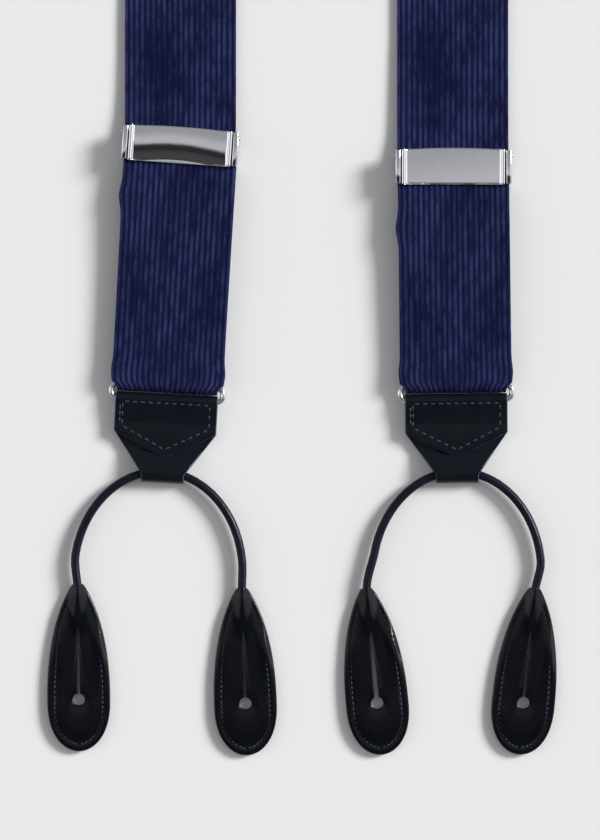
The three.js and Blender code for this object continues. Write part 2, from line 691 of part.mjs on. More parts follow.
function frontSide(side) {
  const turned = rad(side.tilt);
  const adjusterX = side.ringX - side.loopLength * Math.sin(turned);
  const adjusterY = side.ringY + side.loopLength * Math.cos(turned);
  const adjuster = groupAt(0, side.loopLength, 0, side.adjusterTurn,
    named(`${side.name}_adjuster_frame`, adjusterFrame(), nickel),
    named(`${side.name}_adjuster_clip`, adjusterClip(), nickel),
    named(`${side.name}_adjuster_pin`, adjusterPin(), nickel));
  const loop = groupAt(side.ringX, side.ringY, 0, side.tilt,
    named(`${side.name}_strap_loop`, strapLoop(side.loopLength), corduroy),
    adjuster, ...leatherEnd(side));
  return [named(`${side.name}_shoulder_strap`, shoulderStrap(side, adjusterX, adjusterY), corduroy), loop];
}

function back() {
  const outer = patchLeather + layerGap + halfStrap;
  const inner = layerGap + halfStrap;
  const patch = groupAt(middleX, patchTopY, foldedZ, 0,
    named("back_patch_leather", extrudeUp(patchShape(), -outer, -outer + patchLeather, 6), darkLeather),
    named("back_patch_lining", extrudeUp(patchShape(), inner, inner + patchLining, 6), lining));
  const elastic = groupAt(middleX, rear.ringY, 0, 0, named("back_elastic", backElastic(), elasticWeb));
  const end = groupAt(middleX, rear.ringY, rearTop, 0,
    named("back_elastic_end", elasticEnd(), elasticWeb), ...leatherEnd(rear));
  end.rotation.y = Math.PI; // the inner side of the rear end is up
  return [patch, elastic, end];
}

const braces = new THREE.Group();
braces.add(...frontSide(left), ...frontSide(right), ...back());

// The origin is under the middle of the whole, on the table.
const box = new THREE.Box3().setFromObject(braces, true);
const centre = box.getCenter(vec(0, 0, 0));
braces.position.set(-centre.x, -centre.y, -box.min.z);

export default braces;
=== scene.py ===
import json
import math

import bpy
import numpy as np
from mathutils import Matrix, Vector


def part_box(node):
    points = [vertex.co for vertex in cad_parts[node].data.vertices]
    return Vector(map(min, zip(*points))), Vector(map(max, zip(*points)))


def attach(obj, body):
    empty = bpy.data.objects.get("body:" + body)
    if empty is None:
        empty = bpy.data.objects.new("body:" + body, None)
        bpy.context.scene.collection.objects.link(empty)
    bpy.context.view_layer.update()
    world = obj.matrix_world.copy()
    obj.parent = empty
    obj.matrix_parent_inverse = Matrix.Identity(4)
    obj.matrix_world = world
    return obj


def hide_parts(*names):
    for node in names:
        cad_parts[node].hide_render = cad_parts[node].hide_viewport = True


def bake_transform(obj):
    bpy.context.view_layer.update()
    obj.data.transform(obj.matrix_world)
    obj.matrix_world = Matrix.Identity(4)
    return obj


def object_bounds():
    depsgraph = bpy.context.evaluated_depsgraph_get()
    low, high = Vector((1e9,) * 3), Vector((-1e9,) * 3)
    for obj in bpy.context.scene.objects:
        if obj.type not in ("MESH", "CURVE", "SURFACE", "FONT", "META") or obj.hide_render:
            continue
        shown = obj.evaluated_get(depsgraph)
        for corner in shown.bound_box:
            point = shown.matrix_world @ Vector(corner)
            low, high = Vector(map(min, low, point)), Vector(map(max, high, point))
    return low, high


# Button-on braces, laid out flat with the face of the front straps up. The straps are folded over once at
# the shoulder, so the back half lies on the front half with its inner side up. Every shape is a surface
# worked out on a grid; lengths are in metres, and mm turns millimetres into metres.
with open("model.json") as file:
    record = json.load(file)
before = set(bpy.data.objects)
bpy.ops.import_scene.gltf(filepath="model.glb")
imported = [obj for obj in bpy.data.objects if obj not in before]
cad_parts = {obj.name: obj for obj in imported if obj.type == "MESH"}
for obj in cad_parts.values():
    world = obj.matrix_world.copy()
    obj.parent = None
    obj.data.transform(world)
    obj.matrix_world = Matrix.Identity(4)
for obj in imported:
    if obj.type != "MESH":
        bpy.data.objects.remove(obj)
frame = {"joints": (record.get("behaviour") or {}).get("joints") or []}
cad_box = [list(corner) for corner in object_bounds()]
mm = 0.001
joints = {joint["name"]: joint for joint in frame["joints"]}

# ---------- View, light and table ----------
# The braces are seen from straight above with a long lens, on a pale table top. One large soft lamp stands
# low on the right and a little above the picture, and the pale room round it fills the shadows.
scene = bpy.context.scene
scene.view_settings.view_transform = "Standard"
view_height = 299.9 * mm
view_below = 30.5 * mm  # of table between the lowest ear and the picture's lower edge
lens_length = 150
sensor_side = 36  # the longer side of the sensor, which stands upright
ears_left, ears_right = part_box("left_ear_1_front")[0].x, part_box("right_ear_2_front")[1].x
view_x = (ears_left + ears_right) / 2 - 0.7 * mm
view_y = cad_box[0][1] - view_below + view_height / 2

camera = bpy.data.objects.new("camera", bpy.data.cameras.new("camera"))
scene.collection.objects.link(camera)
camera.data.lens = lens_length
camera.data.sensor_width = sensor_side
camera.location = (view_x, view_y, view_height * lens_length / sensor_side)
scene.camera = camera


def linear(code):
    """A colour written as sRGB hex, as the linear red, green, blue and alpha that the shaders take."""
    levels = np.array([int(code[i:i + 2], 16) for i in (1, 3, 5)]) / 255
    return (*np.where(levels <= 0.04045, levels / 12.92, ((levels + 0.055) / 1.055) ** 2.4), 1.0)


def feed(tree, node, inputs):
    """Feeds a node's sockets. Each is paired with the output that is linked to it, or with its value."""
    for socket, source in inputs:
        if isinstance(source, bpy.types.NodeSocket):
            tree.links.new(source, node.inputs[socket])
        else:
            node.inputs[socket].default_value = source


def add_node(tree, kind, inputs=(), **settings):
    """One node of a shader, with its settings and what feeds it."""
    node = tree.nodes.new(kind)
    for name, value in settings.items():
        setattr(node, name, value)
    feed(tree, node, inputs)
    return node


def soft_lamp(name, power, spread, turn, rise):
    """A distant lamp. In degrees, turn counts from +X towards +Y, and rise from the table upwards."""
    lamp = bpy.data.objects.new(name, bpy.data.lights.new(name, "SUN"))
    scene.collection.objects.link(lamp)
    lamp.data.energy = power
    lamp.data.angle = math.radians(spread)
    a, e = math.radians(turn), math.radians(rise)
    lamp.rotation_mode = "QUATERNION"
    towards = Vector((math.cos(a) * math.cos(e), math.sin(a) * math.cos(e), math.sin(e)))
    lamp.rotation_quaternion = towards.to_track_quat("Z", "Y")


soft_lamp("window_lamp", power=4.25, spread=18, turn=24, rise=28)

# The room's light goes by how far a direction leans towards +Y: pale, with a dark gap just this side of
# overhead, which shows in polished metal. Two white boards stand on the left and the right.
room = bpy.data.worlds.new("pale_room")
scene.world = room
room.use_nodes = True
sky = room.node_tree
sky.nodes.clear()
direction = add_node(sky, "ShaderNodeTexCoord")
parts = add_node(sky, "ShaderNodeSeparateXYZ", [("Vector", direction.outputs["Generated"])])
lean = add_node(sky, "ShaderNodeMapRange", [("Value", parts.outputs["Y"]), ("From Min", -1.0)])
ramp = add_node(sky, "ShaderNodeValToRGB", [("Fac", lean.outputs["Result"])])
air_tint = (0.985, 0.99, 1.02)
stops = [(0.0, 0.25), (0.3, 0.27), (0.345, 0.085), (0.43, 0.075), (0.447, 0.03), (0.468, 0.03), (0.482, 0.7),
         (0.505, 0.68), (0.5275, 0.52), (0.55, 0.45), (0.64, 0.42), (0.78, 0.34), (1, 0.25)]
ramp.color_ramp.elements[0].position, ramp.color_ramp.elements[1].position = stops[0][0], stops[-1][0]
for position, _ in stops[1:-1]:
    ramp.color_ramp.elements.new(position)
for element, (_, level) in zip(ramp.color_ramp.elements, stops):
    element.color = (*(level * channel for channel in air_tint), 1)
air = add_node(sky, "ShaderNodeBackground", [("Color", ramp.outputs["Color"])])
aside = add_node(sky, "ShaderNodeMath", [(0, parts.outputs["X"])], operation="ABSOLUTE")
beyond = add_node(sky, "ShaderNodeMath", [(0, parts.outputs["Y"])], operation="ABSOLUTE")
board = add_node(sky, "ShaderNodeMapRange", [("Value", aside.outputs["Value"]), ("From Min", 0.5),
                                             ("From Max", 0.66)])
cut = add_node(sky, "ShaderNodeMapRange", [("Value", beyond.outputs["Value"]), ("From Min", 0.36),
                                           ("From Max", 0.24)])
lit = add_node(sky, "ShaderNodeMath", [(0, board.outputs["Result"]), (1, cut.outputs["Result"])],
               operation="MULTIPLY")
boards = add_node(sky, "ShaderNodeBackground", [("Color", (0.97, 0.98, 1.0, 1)),
                                                ("Strength", lit.outputs["Value"])])
whole = add_node(sky, "ShaderNodeAddShader", [(0, air.outputs["Background"]),
                                              (1, boards.outputs["Background"])])
add_node(sky, "ShaderNodeOutputWorld", [("Surface", whole.outputs["Shader"])])


def material(name):
    """A new material that holds only a Principled shader and its output, with its tree and that shader."""
    made = bpy.data.materials.new(name)
    made.use_nodes = True
    tree = made.node_tree
    tree.nodes.clear()
    shader = add_node(tree, "ShaderNodeBsdfPrincipled")
    add_node(tree, "ShaderNodeOutputMaterial", [("Surface", shader.outputs["BSDF"])])
    return made, tree, shader


# Table top: pale grey laminate, even and matt, so that it gives only a soft shadow edge.
laminate, tree, shader = material("matt_grey_laminate")
place = add_node(tree, "ShaderNodeTexCoord")
grain = add_node(tree, "ShaderNodeTexNoise", [("Vector", place.outputs["Object"]), ("Scale", 900.0)])
tone = add_node(tree, "ShaderNodeMixRGB", [("Fac", grain.outputs["Fac"]), ("Color1", linear("#e0e0df")),
                                           ("Color2", linear("#e2e2e1"))])
feed(tree, shader, [("Base Color", tone.outputs["Color"]), ("Roughness", 0.9), ("Specular IOR Level", 0.2)])


def build(name, points, faces, cover, uv=None):
    """A smooth mesh object from vertices and arrays of faces, turned so that a closed shell's faces point
    outwards: the sum over its triangles of a . (b x c) is six times its volume, and has to be positive."""
    points = np.asarray(points, float).reshape(-1, 3)
    local = points - points.mean(0)
    volume = 0.0
    for group in faces:
        for k in range(1, group.shape[1] - 1):
            a, b, c = (local[group[:, i]] for i in (0, k, k + 1))
            volume += float((a * np.cross(b, c)).sum())
    rows = [list(row) for group in faces for row in (group if volume >= 0 else group[:, ::-1]).tolist()]
    mesh = bpy.data.meshes.new(name)
    mesh.from_pydata(points, [], rows)
    mesh.polygons.foreach_set("use_smooth", np.ones(len(rows), bool))
    if uv is not None:
        corner = np.zeros(len(mesh.loops), np.int32)
        mesh.loops.foreach_get("vertex_index", corner)
        layer = mesh.uv_layers.new(name="cloth")
        layer.data.foreach_set("uv", np.asarray(uv, np.float32).reshape(-1, 2)[corner].ravel())
    mesh.materials.append(cover)
    mesh.update()
    made = bpy.data.objects.new(name, mesh)
    scene.collection.objects.link(made)
    return made


def grid_faces(rows, columns, around=False, looped=False):
    """Quads between neighbours of a grid whose vertices are numbered row by row. around joins its last
    column to its first, and looped its last row to its first."""
    across = columns if around else columns - 1
    down = rows if looped else rows - 1
    r, c = np.meshgrid(np.arange(down), np.arange(across), indexing="ij")
    r2, c2 = (r + 1) % rows, (c + 1) % columns
    quads = np.stack([r * columns + c, r * columns + c2, r2 * columns + c2, r2 * columns + c], -1)
    return quads.reshape(-1, 4)


def shell(name, grid, cover, uv=None, looped=False):
    """A closed tube over a grid of rows round it, one row after another. Its ends close on their middles."""
    grid = np.asarray(grid, float)
    rows, columns = grid.shape[:2]
    faces = [grid_faces(rows, columns, around=True, looped=looped)]
    points = grid.reshape(-1, 3)
    if looped:
        return build(name, points, faces, cover, uv)
    ring = np.arange(columns)
    last = (rows - 1) * columns
    caps = [np.stack([np.full(columns, len(points)), (ring + 1) % columns, ring], 1),
            np.stack([np.full(columns, len(points) + 1), last + ring, last + (ring + 1) % columns], 1)]
    points = np.concatenate([points, grid[:1].mean(1), grid[-1:].mean(1)])
    if uv is not None:
        uv = np.concatenate([np.reshape(uv, (-1, 2)), np.mean(uv[:1], 1), np.mean(uv[-1:], 1)])
    return build(name, points, [*faces, *caps], cover, uv)


table_size = 3.0
table_depth = 20 * mm
half = table_size / 2
corners = np.array([[-half, -half], [half, -half], [half, half], [-half, half]]) + [view_x, view_y]
table_rows = [np.column_stack([corners, np.full(4, z)]) for z in (-table_depth, 0.0)]
table = shell("table_top", table_rows, laminate)
table.data.polygons.foreach_set("use_smooth", np.zeros(len(table.data.polygons), bool))


# ---------- Rolled leather cords ----------
# Each end has one cord: a strip of glazed leather glued round a core and rolled to 3 mm, which runs loose
# through the fold of the tab and carries an ear at each end. It is stiff, and stands in a wide arch.
sides = ("left", "right", "rear")
leans = {"left": 1.5, "right": -3.0, "rear": 0.0}  # how far each arch leans over, in degrees
bar_height = 2.7 * mm  # of the ring's wire above the side that lies on the table
cord_height = 2.9 * mm
cord_diameter = 3.0 * mm
arch_half_width = 30 * mm
arch_height = 36 * mm
arch_top = -25.417 * mm  # from the ring's lower side
arch_radius = arch_half_width ** 2 / arch_height
in_neck = 1.8 * mm  # of the cord goes on inside the ear's rolled neck
round_points = 20  # round a cord, and round a ring's wire
seam_turn, seam_width, seam_depth = 4.9, 0.16, 0.12 * mm  # the glued edge, low on the inner side, in radians
ripple_length, ripple_depth = 0.62 * mm, 0.02 * mm


def part_place(joint, node):
    """Where a leather part lies: an origin under its joint's axis, on the side that was the lower one when
    the part was made, and three directions: across it, along it away from the ears, and away from that
    side. The rear end lies turned over, so there the third points down."""
    turned = joint.startswith("rear")
    across = np.array(joints[joint]["axis"], float) * (1 if turned else -1)
    up = np.array([0.0, 0.0, -1.0 if turned else 1.0])
    low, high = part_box(node)
    origin = np.array([*joints[joint]["pos_m"][:2], high.z if turned else low.z])
    return origin, np.array([across, np.cross(up, across), up])


def put(points, place):
    """Points given across, along and up in a part's own place, in the frame."""
    origin, axes = place
    return origin + np.asarray(points) @ axes


def turned_by(points, centre, angle):
    """Level points turned about a centre by an angle in degrees."""
    c, s = math.cos(math.radians(angle)), math.sin(math.radians(angle))
    return (np.asarray(points) - centre) @ np.array([[c, s], [-s, c]]) + centre


def bezier(a, b, c, d, t):
    """A cubic Bezier curve's points: the four given points weighted by the terms of ((1 - t) + t) cubed."""
    t = np.asarray(t)[:, None]
    return (1 - t) ** 3 * a + 3 * (1 - t) ** 2 * t * b + 3 * (1 - t) * t ** 2 * c + t ** 3 * d


def cord_route(side):
    """The cord's middle line in its tab's place. The arch is half an ellipse that leans over: 30 sin(a) mm
    across, and 36 (1 - cos(a)) mm down from its top. Each foot runs on by a Bezier curve to the neck of an
    ear, pointing its way."""
    origin, axes = part_place(f"{side}_tab_hinge", f"{side}_tab")
    middle = np.array([0.0, arch_top - arch_radius])
    angle = np.radians(np.linspace(-80, 80, 49))
    arch = np.column_stack([arch_half_width * np.sin(angle), arch_top - arch_height * (1 - np.cos(angle))])
    arch = turned_by(arch, middle, leans[side])

    def leg(ear, foot, before):
        """From a foot of the arch, which points away from the point before it, to the neck of an ear."""
        neck, ear_axes = part_place(f"{side}_ear_{ear}_flex", f"{side}_ear_{ear}_back")
        down = -(ear_axes[1] @ axes.T)[:2]
        neck = ((neck - origin) @ axes.T)[:2] + in_neck * down
        reach = np.linalg.norm(foot - neck) / 3
        leaving = (foot - before) / np.linalg.norm(foot - before)
        return bezier(foot, foot + leaving * reach, neck - down * reach, neck, np.linspace(0, 1, 15)[1:])

    level = np.concatenate([leg(1, arch[0], arch[1])[::-1], arch, leg(2, arch[-1], arch[-2])])
    return put(np.column_stack([level, np.full(len(level), cord_height)]), (origin, axes))


def distances(line):
    """Distances along a line of points, from its first."""
    return np.concatenate([[0], np.cumsum(np.linalg.norm(np.diff(line, axis=0), axis=1))])


def directions(line, looped=False):
    """A line's unit direction at each of its points, from the one before it towards the one after it."""
    way = np.roll(line, -1, 0) - np.roll(line, 1, 0) if looped else np.gradient(line, axis=0)
    return way / np.linalg.norm(way, axis=1, keepdims=True)


def points_at(line, places):
    """The points of a line at some distances along it."""
    return np.column_stack([np.interp(places, distances(line), column) for column in line.T])


def evenly(line, step):
    """The same line through points a step apart."""
    length = distances(line)[-1]
    return points_at(line, np.linspace(0, length, max(int(length / step), 2) + 1))


def bell(x, width):
    """A bell curve: e to the power of minus (x / width) squared."""
    return np.exp(-(x / width) ** 2)


def circle(count):
    """Angles round a circle."""
    return 2 * np.pi * np.arange(count) / count


def tube(line, radius, looped=False):
    """Rows of points round a level line: at each point a circle across the line's direction. radius is a
    number, or an array with a value for each point and angle."""
    way = directions(line, looped)
    aside = np.cross(way, [0.0, 0.0, 1.0])
    aside /= np.linalg.norm(aside, axis=1, keepdims=True)
    angle = circle(round_points)[:, None]
    out = aside[:, None] * np.cos(angle) + np.cross(aside, way)[:, None] * np.sin(angle)
    return line[:, None] + np.broadcast_to(radius, (len(line), round_points))[..., None] * out


# Glazed calf leather, dyed blue-black and polished: near black face on, with a clear reflection that breaks
# up in the grain, whose cells are about 0.35 mm wide and drawn twice as coarse so that they show.
def leather(name, colour, roughness, coat, grain_depth):
    """Leather dyed in a colour, which is 1.7 times as light in places, and polished unevenly."""
    made, tree, shader = material(name)
    place = add_node(tree, "ShaderNodeTexCoord")
    at = ("Vector", place.outputs["Object"])
    grain_cell = 0.7 * mm
    cells = add_node(tree, "ShaderNodeTexVoronoi", [at, ("Scale", 1 / grain_cell)])
    creases = add_node(tree, "ShaderNodeTexNoise", [at, ("Scale", 1 / (2.4 * mm)), ("Detail", 5.0)])
    polish = add_node(tree, "ShaderNodeTexNoise", [at, ("Scale", 1 / (6 * mm)), ("Detail", 3.0)])
    height = add_node(tree, "ShaderNodeMath", [(0, cells.outputs["Distance"]), (1, creases.outputs["Fac"])],
                      operation="ADD")
    bump = add_node(tree, "ShaderNodeBump", [("Height", height.outputs["Value"]), ("Strength", 0.55),
                                             ("Distance", grain_depth)])
    dyed = linear(colour)
    tone = add_node(tree, "ShaderNodeMixRGB", [("Fac", polish.outputs["Fac"]), ("Color1", dyed),
                                               ("Color2", (*(1.7 * channel for channel in dyed[:3]), 1))])
    rough = add_node(tree, "ShaderNodeMapRange", [
        ("Value", polish.outputs["Fac"]), ("From Min", 0.3), ("From Max", 0.7), ("To Min", roughness * 0.85),
        ("To Max", roughness * 1.25)])
    feed(tree, shader, [("Base Color", tone.outputs["Color"]), ("Roughness", rough.outputs["Result"]),
                        ("Normal", bump.outputs["Normal"]), ("IOR", 1.5), ("Specular IOR Level", 0.13),
                        ("Coat Weight", coat), ("Coat Roughness", 0.12)])
    return made


rolled_leather = leather("glazed_calf_rolled", "#0c0e1a", roughness=0.34, coat=0.07, grain_depth=0.05 * mm)

for side in sides:
    route = evenly(cord_route(side), step=0.45 * mm)
    distance = distances(route)
    seam = seam_depth * bell(circle(round_points) - seam_turn, seam_width)
    inner_side = np.clip(-np.cos(circle(round_points)), 0, 1)
    ripple = ripple_depth * np.sin(distance / ripple_length)[:, None] * inner_side
    cord = shell(f"{side}_cord", tube(route, cord_diameter / 2 - seam + ripple), rolled_leather)
    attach(cord, f"{side}_cord")
    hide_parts(f"{side}_rolled_cord")


# ---------- Ears ----------
# The buttonhole ends: two leaves of glazed leather glued flesh side to flesh side and stitched all round.
# The cord runs on into the front leaf as a rolled neck that fades out above the slit of the buttonhole.
leaf = 1.1 * mm
ear_length = 59.6 * mm
ear_width = 22.4 * mm
ear_widest = 18 * mm  # from the tip
neck_width = 3.4 * mm
bulge_length = 19 * mm
bulge_half_width = 2.2 * mm
button_hole = 4.3 * mm
button_hole_up = 18.5 * mm
slit_length = 22.5 * mm
stitch_inset = 2.6 * mm
stitch_pitch = 1.9 * mm
ear_face = 2.45 * mm  # height of the front leaf's face over the back leaf's
glue_line = 1.14 * mm  # and of its flesh side
unsewn_neck, unsewn_tip = 8 * mm, 1 * mm  # of the ear's length at the neck, and each way from its middle
slit_widths = {"left": (0.9, 0.5), "right": (1.5, 0.6), "rear": (0.6, 0.6)}  # some are worn open, in mm


def ear_half(height):
    """Half an ear's width at a height above its tip: a blunt curve |1 - t^2.3|^0.5 round the tip, and
    (1 - t^2.3)^0.85 from the widest place up to the neck."""
    widest = ear_width / 2
    below = np.clip((ear_widest - height) / ear_widest, 0, 1)
    above = np.clip((height - ear_widest) / (ear_length - ear_widest), 0, 1)
    upper = neck_width / 2 + (widest - neck_width / 2) * (1 - above ** 2.3) ** 0.85
    return np.where(height < ear_widest, widest * np.sqrt(np.maximum(1 - below ** 2.3, 0)), upper)


def ear_outline(count):
    """Points round an ear from the middle of its neck down its right side, round the tip and up its left
    side. Heights follow a cosine, so the points crowd at both ends."""
    height = ear_length * (1 + np.cos(np.linspace(0, np.pi, count))) / 2
    right = np.column_stack([ear_half(height), height - ear_length])
    lid = np.linspace(0, neck_width / 2, 4)[:-1]
    right = np.concatenate([np.column_stack([lid, np.zeros(3)]), right])
    right[-1, 0] = 0
    return np.concatenate([right, (right * [-1, 1])[-2:0:-1]])


def keyhole(count, slit):
    """As many points round the buttonhole, in the same order: the slit's top, its right side, the round
    hole and the slit's left side. The slit gapes by the first part of a half sine, to the power 0.6."""
    radius = button_hole / 2
    up = button_hole_up - ear_length
    down = np.linspace(0, 1, count // 2 + 1)
    slit_share = 0.62  # of the points lie on the slit, and the rest on the round hole
    half_sine_share = 0.62  # of a half sine, which leaves the slit open where it meets the hole
    t = np.clip(down / slit_share, 0, 1)
    start = math.asin(min(slit / 2 / radius, 1))
    angle = math.pi / 2 - start - np.clip((down - slit_share) / (1 - slit_share), 0, 1) * (math.pi - start)
    on_slit = down < slit_share
    gape = slit / 2 * np.sin(np.pi * half_sine_share * t) ** 0.6
    top = up + radius + slit_length
    x = np.where(on_slit, np.maximum(gape, 0.02 * mm), radius * np.cos(angle))
    slit_run = slit_length + radius * (1 - math.cos(start))
    y = np.where(on_slit, top - t * slit_run, up + radius * np.sin(angle))
    x[0] = x[-1] = 0
    right = np.column_stack([x, y])
    return np.concatenate([right, (right * [-1, 1])[-2:0:-1]])


def seam_round(outline, pitch, inset):
    """Places of stitches about a pitch apart along a closed outline, an inset to the right of its way
    round, and their level directions."""
    closed = np.concatenate([outline, outline[:1]])
    length = distances(closed)[-1]
    loop = points_at(closed, np.linspace(0, length, round(length / pitch), endpoint=False))
    way = directions(loop, looped=True)
    right = np.column_stack([way[:, 1], -way[:, 0]])
    return loop + right * inset, np.column_stack([way, np.zeros(len(way))])


def rounded_off(inside, radius):
    """How far a rounded edge has sunk at a distance d inside it: r - sqrt(r^2 - (r - d)^2)."""
    return radius - np.sqrt(np.maximum(radius ** 2 - (radius - np.minimum(inside, radius)) ** 2, 0))


def soft_step(t):
    """A step from 0 to 1 with soft ends: t^2 (3 - 2 t)."""
    return t * t * (3 - 2 * t)


def bent_rim(x, y):
    """Where wear has bent the rim down: a bell curve along the ear, more on the right than on the left."""
    return bell(y + 0.35 * ear_length, 0.13 * ear_length) * np.where(x > 0, 1.0, 0.3)


def ear_leaf(slit, front):
    """One leaf as a closed ring of rows, from the buttonhole's edge out over its face, round its outer edge
    and back underneath. A row is the keyhole's outline, carried a share of the way to the ear's outline."""
    outline = ear_outline(100)
    inner = keyhole(len(outline), slit)
    width = np.linalg.norm(outline - inner, axis=1)
    share = np.concatenate([[0, 0.012, 0.035], np.linspace(0.07, 0.93, 32), [0.965, 0.988, 1.0]])
    level = inner + (outline - inner) * share[:, None, None]
    edge = (1 - share)[:, None] * width
    hole = share[:, None] * width
    perimeter = distances(outline)
    count = round(perimeter[-1] / stitch_pitch)
    x, y = level[..., 0], level[..., 1]
    off_neck = np.clip((-y - 0.5 * mm) / (3 * mm), 0, 1)
    dish = bell(edge - stitch_inset, 0.55 * mm) * np.clip((-y - 6 * mm) / (3 * mm), 0, 1)
    prick = 0.55 - 0.45 * np.cos(2 * np.pi * perimeter / perimeter[-1] * count)
    sunk = dish * prick * 0.38 * mm + rounded_off(edge, 0.45 * mm) * off_neck + rounded_off(hole, 0.3 * mm)
    if front:
        neck = 1 - soft_step(np.clip(-y / bulge_length, 0, 1))
        crest = cord_height + cord_diameter / 2 + 0.08 * mm - ear_face
        bulge = crest * neck * bell(x, bulge_half_width)
        swell = np.interp(edge, np.array([0, 2.3, 3, 7.5]) * mm, np.array([-0.85, 0.52, 0.56, 0]) * mm)
        crown = 0.3 * mm * np.clip(edge / (7 * mm), 0, 1) ** 0.7 * (1 - 0.7 * np.exp(-hole / (2 * mm)))
        lips = 0.35 * mm * bell(hole, 1.3 * mm) * np.clip((-y - 10 * mm) / (8 * mm), 0, 1)
        lips = lips * np.clip((y + ear_length - button_hole_up) / (5 * mm), 0, 1)
        height = ear_face - sunk + crown * off_neck + bulge + lips + swell * bent_rim(x, y) * (1 - neck)
        flesh = glue_line
    else:
        height = sunk
        flesh = leaf
    face = np.stack([x, y, height], -1)
    flesh_side = np.stack([x, y, np.full_like(x, flesh)], -1)[[-2, -9, -22, 1]]
    return np.concatenate([face, flesh_side]), outline


# Bonded polyester thread, dark blue with a dry shine that picks each stitch out of the leather.
thread, tree, shader = material("bonded_polyester_thread")
place = add_node(tree, "ShaderNodeTexCoord")
ply = add_node(tree, "ShaderNodeTexWave", [("Vector", place.outputs["Object"]), ("Scale", 1 / (0.9 * mm)),
                                           ("Distortion", 1.0)], bands_direction="DIAGONAL")
tone = add_node(tree, "ShaderNodeMixRGB", [("Fac", ply.outputs["Fac"]), ("Color1", linear("#12182c")),
                                           ("Color2", linear("#2a3452"))])
feed(tree, shader, [("Base Color", tone.outputs["Color"]), ("Roughness", 0.5), ("Sheen Weight", 0.3)])


def stitches(name, places, ways, ups, length, radius):
    """A row of sewn stitches in one mesh. Each is a fat grain: six rows of six points, whose radius follows
    the root of 1 - t^4 along it, lying along its way and half sunk."""
    t = np.linspace(-1, 1, 6)
    around = circle(6)
    swell = np.sqrt(np.maximum(1 - t ** 4, 0.02))
    ways = ways / np.linalg.norm(ways, axis=1, keepdims=True)
    ups = ups / np.linalg.norm(ups, axis=1, keepdims=True)
    aside = np.cross(ways, ups)
    ring = (aside[:, None] * np.cos(around)[:, None] + ups[:, None] * np.sin(around)[:, None]) * radius
    body = places[:, None, None] + ways[:, None, None] * (t * length / 2)[:, None, None]
    body = body + ring[:, None] * swell[:, None, None]
    one = grid_faces(6, 6, around=True)
    caps = np.array([np.arange(6)[::-1], np.arange(30, 36)])
    base = 36 * np.arange(len(places))[:, None, None]
    return build(name, body, [(one + base).reshape(-1, 4), (caps + base).reshape(-1, 6)], thread)


ear_leather = leather("glazed_calf_ears", "#05070c", roughness=0.15, coat=0.2, grain_depth=0.045 * mm)
for side in sides:
    for ear in (1, 2):
        joint = f"{side}_ear_{ear}_flex"
        spot = part_place(joint, f"{side}_ear_{ear}_back")
        slit = slit_widths[side][ear - 1] * mm
        made = []
        for leaf_name in ("front", "back"):
            grid, outline = ear_leaf(slit, leaf_name == "front")
            piece = build(f"{side}_ear_{ear}_{leaf_name}_leaf", put(grid, spot),
                          [grid_faces(*grid.shape[:2], around=True, looped=True)], ear_leather)
            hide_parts(f"{side}_ear_{ear}_{leaf_name}")
            made.append(piece)
        at, way = seam_round(outline, pitch=stitch_pitch, inset=stitch_inset)
        sewn = (at[:, 1] < -unsewn_neck) & (np.abs(at[:, 0]) > unsewn_tip)
        at, way = at[sewn], way[sewn]
        seam_height = ear_face - 0.07 * mm + 0.47 * mm * bent_rim(at[:, 0], at[:, 1])
        for face, height, up in (("front", seam_height, 1), ("back", np.full(len(at), 0.12 * mm), -1)):
            places = put(np.column_stack([at, height]), spot)
            made.append(stitches(f"{side}_ear_{ear}_{face}_stitching", places, way @ spot[1],
                                 np.tile(up * spot[1][2], (len(at), 1)), length=1.3 * mm, radius=0.2 * mm))
        for piece in made:
            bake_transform(piece)


# ---------- Leather tabs ----------
# One strip of glazed leather for each end. It starts in a pointed flap, goes over the ring, down behind,
# round the cord and back up under its own flap, and is sewn through all layers along the flap's edge.
tab_half = 18.25 * mm
tab_shoulder = 11.5 * mm
tab_narrow = 7.6 * mm  # half its width at the cord
flap_length = 22.8 * mm
flap_tip = 0.5 * mm
wrap_gap = 0.3 * mm
ring_wire = 2.0 * mm
tab_wrap = ring_wire / 2 + wrap_gap + leaf / 2
cord_wrap = cord_diameter / 2 + wrap_gap + leaf / 2
tab_bend = -26.5 * mm  # where the strip turns round the cord
sewn_corner = 15.5 * mm
sewn_top = -1.1 * mm
sewn_shoulder = -9.7 * mm
sewn_tip = -17.6 * mm
tab_stitch = 2.9 * mm
flap_end = tab_wrap + leaf / 2 - flap_length


def bow(centre, radius, start, end, count):
    """Points y, z on an arc round a centre, between two angles in degrees that count from +Y towards +Z."""
    angle = np.radians(np.linspace(start, end, count))
    return np.column_stack([centre[0] + radius * np.cos(angle), centre[1] + radius * np.sin(angle)])


def eased(line, step, reach):
    """A side view's points a step apart, each the mean of those within reach of it, to round its corners."""
    even = evenly(line, step)
    count = max(int(reach / step), 1)
    before, after = 2 * even[:1] - even[count:0:-1], 2 * even[-1:] - even[-2:-count - 2:-1]
    window = np.ones(2 * count + 1) / (2 * count + 1)
    return np.column_stack([np.convolve(column, window, "valid")
                            for column in np.concatenate([before, even, after]).T])


